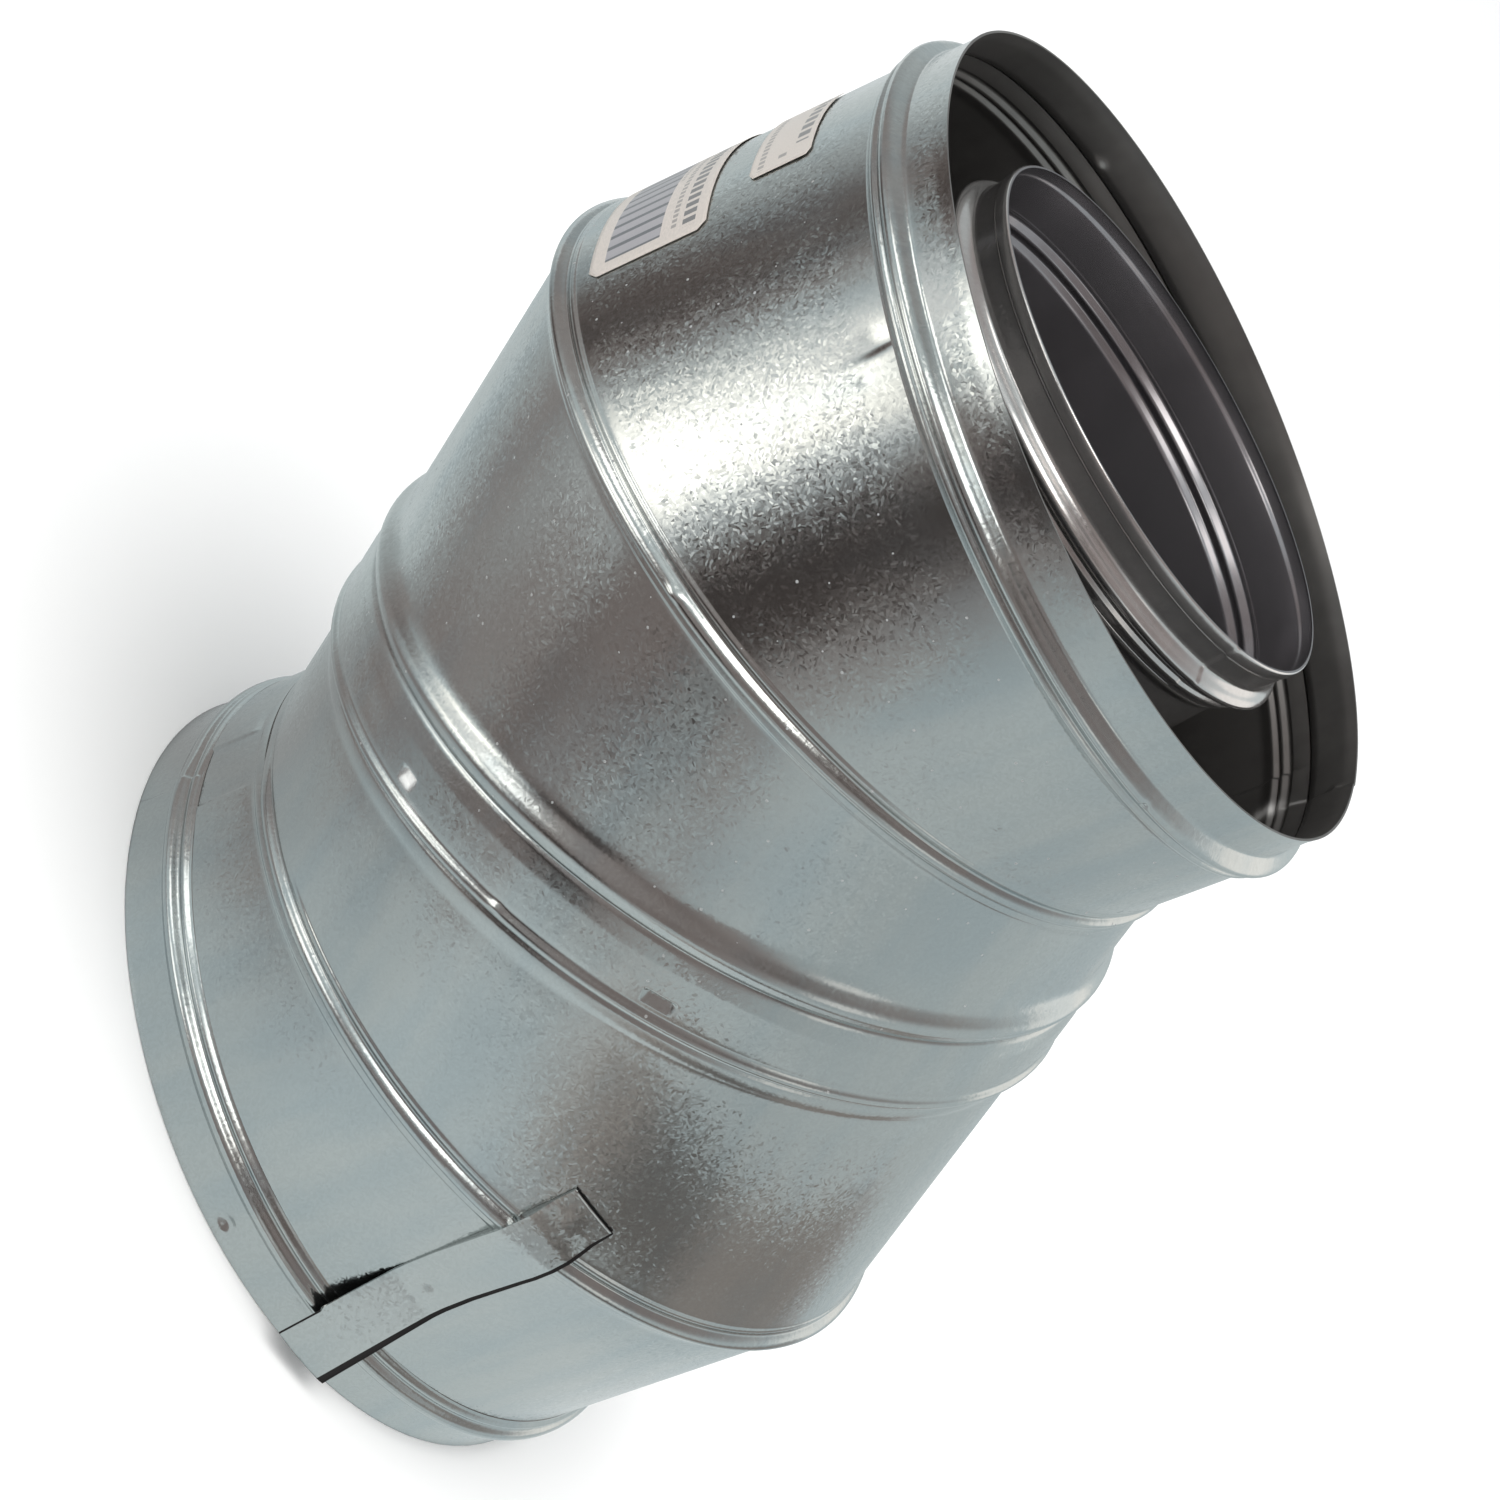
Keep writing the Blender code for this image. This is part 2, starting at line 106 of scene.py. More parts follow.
LOW = Axis((lower_centre.x, lower_centre.y, 0.0), UP)
MID = Axis(lower_mitre, SWIVEL)
TOP = Axis(upper_mitre, UP)
LINER_TOP = Axis(liner_mitre, LINER_UP)
SHELL_PLANE = UP + SWIVEL
LINER_PLANE = LINER_UP + SWIVEL


# --- profiles -------------------------------------------------------------------------------
def shifted(radius, points, base=0.0, sign=1.0):
    """(offset, distance) pairs made into (radius, height) pairs."""
    return [(radius + off, base + sign * along) for off, along in points]


def rounded(points, cut=0.9, steps=3):
    """A polyline with its corners turned into short curves."""
    pts = [np.array(p, float) for p in points]
    out = [pts[0]]
    for before, here, after in zip(pts, pts[1:], pts[2:]):
        back, ahead = before - here, after - here
        reach = min(cut, 0.45 * np.linalg.norm(back), 0.45 * np.linalg.norm(ahead))
        a = here + back / np.linalg.norm(back) * reach
        b = here + ahead / np.linalg.norm(ahead) * reach
        for k in range(steps + 1):
            t = k / steps
            out.append((1 - t) ** 2 * a + 2 * t * (1 - t) * here + t * t * b)
    out.append(pts[-1])
    return out


def divided(points, longest=5.0, fine=()):
    """The same line with no piece longer than allowed; fine holds (low, high, length)."""
    out = [points[0]]
    for a, b in zip(points, points[1:]):
        limit = longest
        for low, high, length in fine:
            if max(a[1], b[1]) > low and min(a[1], b[1]) < high:
                limit = min(limit, length)
        count = max(1, math.ceil(np.linalg.norm(b - a) / limit))
        out += [a + (b - a) * (k + 1) / count for k in range(count)]
    return out


def bearings(fine=(), step=1.5):
    """Bearings round a ring, with extra ones where (centre, half width, step) asks."""
    angles = set(np.round(np.arange(0.0, 360.0, step), 4))
    for centre, half, small in fine:
        angles |= set(np.round(np.arange(centre - half, centre + half, small) % 360.0, 4))
    ordered = sorted(angles)
    kept = [ordered[0]]
    for angle in ordered[1:]:
        if angle - kept[-1] > 0.09:
            kept.append(angle)
    return np.radians(np.array(kept))


# --- dents and marks, as radial moves in millimetres ------------------------------------------
LAP_EDGE = 0.22          # how sharply the sheet steps up at a lap or a cut


def turned_from(phi, degrees):
    return (phi - math.radians(degrees) + math.pi) % math.tau - math.pi


def bump(degrees, height, half_arc, half_length, rise, power=2.0, radius=SHELL):
    """A round-topped mark; a negative rise is a dimple."""
    def move(phi, z):
        u = np.abs(turned_from(phi, degrees) * radius / half_arc)
        v = np.abs((z - height) / half_length)
        return rise * np.exp(-(u ** power + v ** power))
    return move


def lap(degrees, rise, low, high, side=1.0, radius=SHELL, fade=9.0):
    """A lengthwise lap: a sharp step that fades away on one side of the bearing."""
    def move(phi, z):
        u = turned_from(phi, degrees) * radius * side
        step = 1.0 / (1.0 + np.exp(-np.maximum(u, -20.0) / LAP_EDGE))
        inside = ((z > low) & (z < high)).astype(float)
        return rise * step * np.exp(-np.maximum(u, 0.0) / fade) * inside
    return move


def ripple(size, seed):
    """Slow unevenness of rolled sheet."""
    def move(phi, z):
        a = np.sin(3.0 * phi + seed) * np.sin(z / 31.0 + 1.7 * seed)
        b = np.sin(7.0 * phi + 2.3 * seed) * np.sin(z / 17.0 + seed)
        c = np.sin(11.0 * phi - seed) * np.cos(z / 23.0)
        return size * (0.5 * a + 0.3 * b + 0.2 * c)
    return move


def crease(degrees, height, tilt, length, width, rise, radius=SHELL):
    """A narrow fold of the sheet along a slanting line."""
    def move(phi, z):
        u = turned_from(phi, degrees) * radius
        v = z - height
        along = u * math.sin(tilt) + v * math.cos(tilt)
        across = u * math.cos(tilt) - v * math.sin(tilt)
        body = np.exp(-((along / length) ** 2))
        return rise * body * np.exp(-np.abs(across / width)) * np.tanh(across / 1.2)
    return move


def lance(degrees, low, high, half_arc, depth, radius=SHELL):
    """A pressed-in tab: a facet that sinks towards its upper edge and stops short there."""
    def move(phi, z):
        u = np.abs(turned_from(phi, degrees) * radius)
        across = 1.0 / (1.0 + np.exp(np.minimum(u - half_arc, 20.0) / LAP_EDGE))
        along = np.clip((z - low) / (high - low), 0.0, 1.0)
        end = 1.0 / (1.0 + np.exp((z - high) / 0.12))
        return -depth * across * along * end
    return move


def held_back(first, last, low, high, share):
    """Flattens a band of heights before one bearing: returns a scaling of its own rise."""
    def scale(phi, z):
        t = np.clip((np.degrees(phi) - first) / (last - first), 0.0, 1.0)
        t = np.where(np.degrees(phi) > 240.0, 0.0, t)
        t = t * t * (3 - 2 * t)
        within = ((z > low) & (z < high)).astype(float)
        return 1.0 - within * (1.0 - (share + (1.0 - share) * t))
    return scale


# --- mesh making ------------------------------------------------------------------------------
def finish_mesh(obj, sharp=38.0):
    obj.data.shade_smooth()
    obj.data.set_sharp_from_angle(angle=math.radians(sharp))
    return obj


def grid_object(name, rows, uv_rows, closed_rows, closed_columns, inner_from=None):
    """A mesh from a grid of points; rows and columns can each join end to end."""
    count, wide = rows.shape[:2]
    row_pairs = count if closed_rows else count - 1
    column_pairs = wide if closed_columns else wide - 1
    i, j = np.meshgrid(np.arange(row_pairs), np.arange(column_pairs), indexing="ij")
    i2, j2 = (i + 1) % count, (j + 1) % wide
    corners = np.stack([i * wide + j, i2 * wide + j, i2 * wide + j2, i * wide + j2], -1)
    faces = corners.reshape(-1, 4)
    mesh = bpy.data.meshes.new(name)
    mesh.from_pydata(rows.reshape(-1, 3).tolist(), [], faces.tolist())
    layer = mesh.uv_layers.new(name="UVMap")
    u, v = uv_rows
    corner_u = np.stack([u[j], u[j], u[j + 1], u[j + 1]], -1)
    corner_v = np.stack([v[i, j], v[i2, j], v[i2, j2], v[i, j2]], -1)
    flat = np.stack([corner_u, corner_v], -1).reshape(-1)
    layer.data.foreach_set("uv", flat.astype(np.float32))
    obj = bpy.data.objects.new(name, mesh)
    bpy.context.scene.collection.objects.link(obj)
    if inner_from is not None:
        slots = (i.reshape(-1) >= inner_from).astype(np.int32)
        mesh.polygons.foreach_set("material_index", slots)
    return obj


BEAD_REACH = 1.4         # how far from a steep flank the sheet still counts as drawn


def ring(name, axis, outer, wall, materials, body, node, moves=(), scales=(),
         mitre=None, fine_phi=(), fine_z=(), inner=None, longest=5.0, scuffs_and_highlights=()):
    """A turned wall that stands for one CAD node.

    outer and inner run top to bottom. mitre is (plane normal, square height, sloped height).
    Two point attributes go to the materials: drawn, near beads, and a mark share that is real wear in some places
    and a painted highlight in others.
    """
    skin = divided(rounded(outer), longest, fine_z)
    if inner is None:
        back = [(p[0] - wall, p[1]) for p in reversed(skin)]
    else:
        back = divided(rounded(list(reversed(inner))), longest, fine_z)
    section = np.array([*[tuple(p) for p in skin], *[tuple(p) for p in back]], float)
    phi = bearings(fine_phi)
    radius = np.repeat(section[:, :1], len(phi), axis=1)
    height = np.repeat(section[:, 1:], len(phi), axis=1)
    bearing = np.repeat(phi[None, :], len(section), axis=0)
    plain = SHELL if radius.mean() > (SHELL + LINER) / 2 else LINER
    for scale in scales:
        factor = scale(bearing, height)
        radius = np.where(radius > plain, plain + (radius - plain) * factor, radius)
    for move in moves:
        radius = radius + move(bearing, height)
    x, y = radius * np.cos(bearing), radius * np.sin(bearing)
    square_height = height
    if mitre:
        normal, square, sloped = mitre
        gx, gy = axis.slope(normal)
        share = np.clip((height - square) / (sloped - square), 0.0, 1.0)
        height = height + share * (gx * x + gy * y)
    points = axis.world(x * MM, y * MM, height * MM)
    u = np.append(phi, phi[0] + math.tau) * plain * MM
    obj = grid_object(name, points, (u, height * MM), True, True, inner_from=len(skin) - 1)
    steep = np.abs(np.diff(section[:, 0], append=section[0, 0]))
    steep = steep / (steep + np.abs(np.diff(section[:, 1], append=section[0, 1])) + 1e-6)
    nearby = np.abs(section[:, None, 1] - section[None, :, 1]) < BEAD_REACH
    drawn = np.clip(np.where(nearby, steep[None, :], 0.0).max(axis=1) / 0.25, 0.0, 1.0)
    layer = obj.data.attributes.new("drawn", "FLOAT", "POINT")
    layer.data.foreach_set("value", np.repeat(drawn, len(phi)).astype(np.float32))
    wear_and_highlight = np.zeros_like(bearing)
    for inside, mark in scuffs_and_highlights:
        side = (np.arange(len(section)) >= len(skin))[:, None] == inside
        wear_and_highlight = np.maximum(wear_and_highlight, mark(bearing, square_height) * side)
    layer = obj.data.attributes.new("scuff_and_highlight", "FLOAT", "POINT")
    layer.data.foreach_set("value", np.clip(wear_and_highlight, 0.0, 1.0).reshape(-1).astype(np.float32))
    for material in materials:
        obj.data.materials.append(material)
    finish_mesh(obj)
    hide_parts(node)
    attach(obj, body)
    return obj


# --- materials --------------------------------------------------------------------------------
class Graph:
    """A short way to write a node tree."""

    def __init__(self, owner):
        owner.use_nodes = True
        self.tree = owner.node_tree
        self.tree.nodes.clear()

    def node(self, kind, inputs=None, **settings):
        made = self.tree.nodes.new("ShaderNode" + kind)
        for key, value in settings.items():
            setattr(made, key, value)
        for key, value in (inputs or {}).items():
            self.feed(made.inputs[key], value)
        return made

    def feed(self, socket, value):
        if isinstance(value, bpy.types.NodeSocket):
            self.tree.links.new(value, socket)
        else:
            socket.default_value = value

    def math(self, operation, first, second=0.0, third=0.0, clamp=False):
        made = self.node("Math", {0: first, 1: second, 2: third}, operation=operation)
        made.use_clamp = clamp
        return made.outputs[0]

    def vector(self, operation, first, second=(0.0, 0.0, 0.0), scale=None):
        made = self.node("VectorMath", {0: first, 1: second}, operation=operation)
        if scale is not None:
            self.feed(made.inputs["Scale"], scale)
        return made.outputs[0]

    def mix(self, share, first, second):
        made = self.node("Mix", data_type="RGBA")
        self.feed(made.inputs["Factor"], share)
        self.feed(made.inputs["A"], first)
        self.feed(made.inputs["B"], second)
        return made.outputs["Result"]

    def ramp(self, value, low, high, start=0.0, end=1.0):
        made = self.node("MapRange", {"Value": value, "From Min": low, "From Max": high,
                                      "To Min": start, "To Max": end})
        made.interpolation_type = "SMOOTHSTEP"
        return made.outputs["Result"]

    def noise(self, place, scale, detail=2.0, rough=0.5):
        return self.node("TexNoise", {"Vector": place, "Scale": scale, "Detail": detail,
                                      "Roughness": rough}).outputs["Fac"]

    def cells(self, place, scale, flat=True):
        made = self.node("TexVoronoi", {"Vector": place, "Scale": scale})
        made.voronoi_dimensions = "2D" if flat else "3D"
        return made.outputs["Distance"], made.outputs["Color"]

    def surface(self, **inputs):
        shader = self.node("BsdfPrincipled")
        for key, value in inputs.items():
            self.feed(shader.inputs[key.replace("_", " ")], value)
        end = self.node("OutputMaterial")
        self.tree.links.new(shader.outputs[0], end.inputs[0])
        return shader


def rgb(red, green, blue):
    return (red, green, blue, 1.0)


SPANGLE_PATCHES = 700.0            # patches of one flake direction, in cells per metre
SPANGLE_FLAKES = (1000.0, 1900.0, 1.0)
SPANGLE_TURNS = ((0.6, 0.0), (-0.55, 0.36), (1.7, 0.68))
DUST_CELLS = 125.0
# Light, less metallic tone of the marks: real wear inside the upper mouth, a painted highlight on the swivel band.
SCUFF_AND_HIGHLIGHT_TONE = (0.90, 0.90, 0.88, 1.0)


def sheet_metal(name, colour, stain, roughness, grain, dust, seed, dull=0.0):
    """Zinc-coated sheet: fine spangle, cloudy staining, roll streaks and specks of dust."""
    made = bpy.data.materials.new(name)
    g = Graph(made)
    coordinates = g.node("TexCoord")
    place = g.vector("ADD", coordinates.outputs["UV"], (seed * 1.37, seed * 0.71, 0.0))
    body = coordinates.outputs["Object"]
    wander = g.node("TexNoise", {"Vector": place, "Scale": 420.0, "Detail": 2.0}).outputs["Color"]
    bent = g.vector("ADD", place, g.vector("SCALE", wander, scale=0.0003))
    _, coarse = g.cells(bent, SPANGLE_PATCHES)
    lean = g.node("SeparateColor", {"Color": coarse}).outputs[2]
    flakes = None
    for turn, share in SPANGLE_TURNS:
        turned = g.node("VectorRotate", {"Vector": bent, "Angle": turn}, rotation_type="Z_AXIS")
        long_cells = g.vector("MULTIPLY", turned.outputs[0], SPANGLE_FLAKES)
        _, layer = g.cells(long_cells, 1.0)
        chosen_here = g.math("GREATER_THAN", lean, share)
        flakes = layer if flakes is None else g.mix(chosen_here, flakes, layer)
    off = g.vector("SUBTRACT", flakes, (0.5, 0.5, 0.5))
    cubed = g.vector("MULTIPLY", off, g.vector("MULTIPLY", off, off))
    drawn = g.node("Attribute", attribute_name="drawn").outputs["Fac"]
    crisp = g.math("MULTIPLY", grain, g.math("SUBTRACT", 1.0, g.math("MULTIPLY", drawn, 0.62)))
    tilt = g.vector("SCALE", g.vector("ADD", g.vector("SCALE", cubed, scale=5.0),
                                      g.vector("SCALE", off, scale=0.25)), scale=crisp)
    normal = g.node("NewGeometry").outputs["Normal"]
    normal = g.vector("NORMALIZE", g.vector("ADD", normal, tilt))
    split = g.node("SeparateColor", {"Color": flakes})
    cloud = g.noise(body, 16.0, 3.0, 0.6)
    stretched = g.vector("MULTIPLY", g.vector("ADD", place, g.vector("SCALE", wander, scale=0.004)),
                         (75.0, 13.0, 1.0))
    streak = g.noise(stretched, 1.0, 2.0)
    tone = g.math("ADD", g.math("MULTIPLY", cloud, 0.5), g.math("MULTIPLY", streak, 0.5))
    tint = g.mix(g.ramp(tone, 0.42, 0.66), rgb(*colour), rgb(*stain))
    flake = g.ramp(split.outputs[0], 0.0, 1.0, 0.97, 1.02)
    bright = g.vector("SCALE", tint, scale=flake)
    distance, chance = g.cells(bent, DUST_CELLS)
    chosen = g.node("SeparateColor", {"Color": chance}).outputs[1]
    size = g.ramp(chosen, 0.45, 1.0, 0.0, 0.045)
    speck = g.math("MULTIPLY", g.math("LESS_THAN", distance, size), dust)
    rough = g.math("ADD", roughness, g.math("MULTIPLY", g.math("SUBTRACT", cloud, 0.5), 0.16))
    rough = g.math("ADD", rough, g.math("MULTIPLY", split.outputs[1], 0.03))
    # The marks turn the sheet light and less metallic; on the swivel band they are a painted highlight over the
    # lance tab.
    scuff_and_highlight = g.node("Attribute", attribute_name="scuff_and_highlight").outputs["Fac"]
    bright = g.mix(scuff_and_highlight, bright, SCUFF_AND_HIGHLIGHT_TONE)
    metal = g.math("SUBTRACT", 1.0 - dull, g.math("MULTIPLY", speck, 0.85))
    g.surface(
        Base_Color=g.mix(speck, bright, rgb(0.36, 0.37, 0.37)),
        Metallic=g.math("SUBTRACT", metal, g.math("MULTIPLY", scuff_and_highlight, 0.8), clamp=True),
        Roughness=g.math("MAXIMUM", rough, g.math("MULTIPLY", speck, 0.5)),
        Normal=normal,
    )
    return made


def dark_inside(name, colour, roughness, seed):
    """The inner face of a pipe wall, dull, with its colour darkened as painted shade for the inside of the pipe.
    """
    made = bpy.data.materials.new(name)
    g = Graph(made)
    place = g.node("TexCoord").outputs["Object"]
    cloud = g.noise(g.vector("ADD", place, (seed, 0.0, 0.0)), 24.0, 4.0, 0.6)
    tint = g.mix(g.ramp(cloud, 0.35, 0.7), rgb(*colour), rgb(*[0.7 * c for c in colour]))
    rough = g.math("ADD", roughness, g.math("MULTIPLY", cloud, 0.12))
    scuff_and_highlight = g.node("Attribute", attribute_name="scuff_and_highlight").outputs["Fac"]
    g.surface(Base_Color=g.mix(scuff_and_highlight, tint, rgb(0.85, 0.84, 0.82)),
              Metallic=g.math("SUBTRACT", 0.9, g.math("MULTIPLY", scuff_and_highlight, 0.8)),
              Roughness=rough, Specular_Tint=rgb(0.45, 0.45, 0.45))
    return made


def box_mask(g, u, v, left, right, low, high):
    """One inside a rectangle of the label's own coordinates, zero outside."""
    parts = [g.math("GREATER_THAN", u, left), g.math("LESS_THAN", u, right),
             g.math("GREATER_THAN", v, low), g.math("LESS_THAN", v, high)]
    mask = parts[0]
    for part in parts[1:]:
        mask = g.math("MULTIPLY", mask, part)
    return mask


def printed(name, blocks, bars):
    """Off-white paper with plain grey blocks and a panel of plain bars; no lettering."""
    made = bpy.data.materials.new(name)
    g = Graph(made)
    coordinates = g.node("TexCoord")
    where = g.node("SeparateXYZ", {"Vector": coordinates.outputs["UV"]})
    u, v = where.outputs[0], where.outputs[1]
    fibre = g.noise(coordinates.outputs["UV"], 60.0, 4.0, 0.7)
    paper = g.mix(g.ramp(fibre, 0.3, 0.7), rgb(0.60, 0.545, 0.50), rgb(0.53, 0.49, 0.455))
    for left, right, low, high, pitch, tone in blocks:
        mask = box_mask(g, u, v, left, right, low, high)
        if pitch:
            beat = g.math("FRACT", g.math("MULTIPLY", u, pitch))
            mask = g.math("MULTIPLY", mask, g.math("LESS_THAN", beat, 0.62))
        paper = g.mix(g.math("MULTIPLY", mask, tone), paper, rgb(0.10, 0.11, 0.12))
    if bars:
        left, right, low, high, pitch = bars
        mask = box_mask(g, u, v, left, right, low, high)
        panel = g.mix(g.math("MULTIPLY", mask, 0.85), paper, rgb(0.30, 0.30, 0.33))
        beat = g.math("FRACT", g.math("MULTIPLY", u, pitch))
        paper = g.mix(g.math("MULTIPLY", mask, g.math("LESS_THAN", beat, 0.3)), panel,
                      rgb(0.13, 0.14, 0.15))
    g.surface(Base_Color=paper, Roughness=g.ramp(fibre, 0.2, 0.8, 0.30, 0.40))
    return made


ZINC = (0.58, 0.60, 0.59)
ZINC_STAIN = (0.51, 0.555, 0.565)
galvanised = {}
for number, piece in enumerate(
    ["lower_shell_collar", "lower_end_gore", "lower_swivel_gore", "upper_swivel_gore",
     "swivel_band", "upper_end_gore", "upper_shell_collar", "support_strap"], start=1):
    dust = {"upper_end_gore": 1.0, "upper_swivel_gore": 0.7, "swivel_band": 0.5}.get(piece, 0.12)
    galvanised[piece] = sheet_metal(
        piece + "_zinc", ZINC, ZINC_STAIN, roughness=0.18, grain=0.105, dust=dust, seed=number)
# Near-black painted shadow for the strap's turned-down lower edge, its underside and its cut edges.
painted_shadow_edge = dark_inside("strap_painted_shadow", (0.05, 0.045, 0.045), 0.45, 5.0)
# Painted shade: the inner face of the shell takes a colour well below the outer zinc, for the dark inside of the
# pipe.
shell_inside = dark_inside("shell_inside", (0.36, 0.347, 0.338), 0.26, 3.0)
liner_metal = sheet_metal("liner_sheet", (0.68, 0.66, 0.65), (0.60, 0.59, 0.59),
                          roughness=0.16, grain=0.04, dust=0.1, seed=21, dull=0.08)
# Painted shade for the liner's inner face, as for the shell.
liner_inside = dark_inside("liner_inside", (0.42, 0.402, 0.42), 0.18, 7.0)
strip_metal = sheet_metal("spring_strip", (0.48, 0.49, 0.50), (0.42, 0.43, 0.45),
                          roughness=0.3, grain=0.08, dust=0.0, seed=31)

# --- outer shell ------------------------------------------------------------------------------
SEAM_OVER = [(0.0, 6.4), (0.05, 5.5), (0.34, 5.0), (0.42, 4.5), (0.34, 4.0), (-0.12, 3.2),
             (0.0, 2.6), (0.85, 2.0), (1.5, 1.25), (1.8, 0.4), (1.75, -0.35), (1.35, -1.0),
             (0.9, -1.35)]
SEAM_OVER_BACK = [(-0.6, 6.4), (-0.6, 3.0), (-0.4, 2.4), (0.3, 1.6), (0.95, 0.6), (1.0, -0.4),
                  (0.75, -1.35)]
SEAM_UNDER = [(0.5, -0.4), (0.55, -1.6), (0.5, -2.9), (0.1, -3.4), (0.0, -4.4)]

ring(
    "upper_collar_shell", TOP,
    shifted(SHELL, [(-1.1, 0.0), (-1.4, 3.0), (-1.3, 8.0), (-1.15, 10.8), (0.1, 11.7),
                    (1.5, 12.5), (2.5, 13.5), (2.78, 14.3), (2.5, 15.1), (1.6, 15.8),
                    (1.0, 16.25), (1.45, 16.8), (1.75, 17.35), (1.5, 17.95), (0.85, 18.6),
                    (0.4, 19.2), (0.1, 19.7)], UPPER_HEIGHT, -1.0),
    SHELL_WALL, [galvanised["upper_shell_collar"], shell_inside], "upper_half",
    "upper_shell_collar",
    inner=shifted(SHELL, [(-1.7, 0.0), (-2.0, 3.0), (-1.9, 8.0), (-1.8, 10.8), (-1.3, 12.1),
                          (-0.7, 12.85), (0.2, 13.0), (1.6, 13.7), (1.85, 14.5), (1.1, 15.6),
                          (0.6, 16.25), (0.9, 17.0), (0.9, 17.9), (0.3, 18.7), (0.05, 19.7)],
                  UPPER_HEIGHT, -1.0),
    moves=[ripple(0.10, 1.0), lap(186.0, 0.45, 57.0, 80.0), bump(300.0, 65.6, 2.2, 1.6, -0.9),
           bump(186.6, 72.0, 1.3, 1.3, -0.5), bump(186.6, 61.0, 1.3, 1.3, -0.5),
           bump(122.0, 62.3, 1.2, 0.9, -0.9)],
    fine_phi=[(186.0, 2.5, 0.15), (300.0, 3.0, 0.3), (122.0, 2.0, 0.25)],
    fine_z=[(60.0, UPPER_HEIGHT, 1.0)])

MOUTH_RIBS = shifted(0.0, [(-0.62, 13.2), (-1.3, 17.6), (-0.8, 18.0), (-0.65, 18.4), (-0.75, 18.9),
                           (-1.45, 20.2), (-1.4, 20.8), (-0.9, 21.1), (-0.7, 21.5), (-0.8, 21.8),
                           (-1.55, 23.0), (-1.35, 23.8), (-0.6, 26.0)], UPPER_HEIGHT, -1.0)
NESTED_TOP = shifted(0.0, [(0.0, 13.2), (0.6, 14.3), (0.4, 15.5), (0.0, 16.2), (0.2, 17.2),
                           (0.0, 18.4), (0.0, 19.3)], UPPER_HEIGHT, -1.0)
ring(
    "upper_gore_shell", TOP,
    shifted(SHELL, NESTED_TOP + SEAM_OVER),
    SHELL_WALL, [galvanised["upper_end_gore"], shell_inside], "upper_half",
    "upper_end_gore",
    inner=shifted(SHELL, MOUTH_RIBS + SEAM_OVER_BACK),
    moves=[ripple(0.16, 2.0), lap(196.0, 0.5, 5.0, 60.0),
           crease(54.5, 54.0, math.radians(-4.0), 5.5, 3.6, 0.5),
           bump(53.0, 53.5, 4.5, 5.0, -0.35), bump(57.5, 49.0, 0.9, 0.8, -0.30),
           bump(118.0, 25.0, 1.4, 3.0, 0.25), bump(72.5, 0.3, 1.8, 1.5, 0.55),
           crease(152.0, 32.0, math.radians(20.0), 12.0, 3.0, 0.18)],
    scuffs_and_highlights=[(True, bump(188.0, UPPER_HEIGHT - 24.0, 3.2, 4.0, 0.9)),
            (True, bump(187.3, UPPER_HEIGHT - 16.0, 0.7, 9.0, 0.5))],
    mitre=(SHELL_PLANE, UPPER_HEIGHT - 27.0, 6.0),
    fine_phi=[(188.0, 4.0, 0.4), (54.5, 9.0, 0.35), (118.0, 2.5, 0.4), (196.0, 2.5, 0.15),
              (72.5, 2.5, 0.4)],
    fine_z=[(38.0, 58.0, 1.0), (20.0, 30.0, 1.5)], longest=4.0)

ring(
    "upper_swivel_shell", MID,
    shifted(SHELL, SEAM_UNDER, SWIVEL_RUN)
    + shifted(SHELL, [(0.0, 98.0), (0.1, 95.4), (0.55, 93.4), (1.5, 91.6), (2.45, 90.0),
                      (2.9, 88.6), (2.75, 87.4), (2.35, 86.5), (2.1, 85.9), (1.75, 85.3),
                      (1.2, 84.8), (1.05, 84.4), (0.85, 83.6), (0.6, 82.4), (0.6, 71.2)]),
    SHELL_WALL, [galvanised["upper_swivel_gore"], shell_inside], "upper_half",
    "upper_swivel_gore",
    moves=[ripple(0.15, 3.0), lap(218.0, 0.5, 98.0, 140.0),
           crease(28.0, 97.0, math.radians(70.0), 8.0, 3.0, 0.3)],
    mitre=(SHELL_PLANE, 98.0, SWIVEL_RUN - 4.4),
    fine_phi=[(218.0, 2.5, 0.15)], longest=4.0)

band_moves = [
    ripple(0.06, 4.0), lance(55.3, 68.8, 72.6, 2.4, 1.5), bump(76.0, 65.8, 1.6, 1.0, 0.5),
    bump(43.0, 72.0, 6.0, 3.0, -0.25), lance(99.5, 68.2, 71.8, 3.8, 1.1),
    lap(232.0, 0.5, 63.0, 83.0), bump(228.0, 72.0, 1.5, 1.5, -0.5),
]
ring(
    "swivel_band_shell", MID,
    shifted(SHELL, [(0.95, 84.5), (1.35, 83.9), (1.6, 83.2), (1.8, 82.0), (2.0, 80.6), (2.15, 79.6),
                    (2.25, 78.8), (2.3, 72.0),
                    (2.2, 68.4), (2.05, 67.1), (2.35, 66.3), (2.85, 65.5), (3.0, 64.7),
                    (2.75, 63.9), (2.0, 63.25), (1.2, 63.0)]),
    SHELL_WALL, [galvanised["swivel_band"], shell_inside], "upper_half",
    "swivel_band", moves=band_moves,
    # Painted highlights: light, less metallic patches over the first lance tab and the bead just below it.
    scuffs_and_highlights=[(False, bump(55.3, 70.8, 2.3, 2.1, 1.0, 4.0)),
            (False, bump(58.5, 66.5, 4.0, 1.2, 0.45))],
    fine_phi=[(55.3, 3.0, 0.25), (99.5, 4.0, 0.2), (76.0, 2.0, 0.3), (232.0, 2.5, 0.15)],
    fine_z=[(67.5, 74.2, 0.3)], longest=2.5)

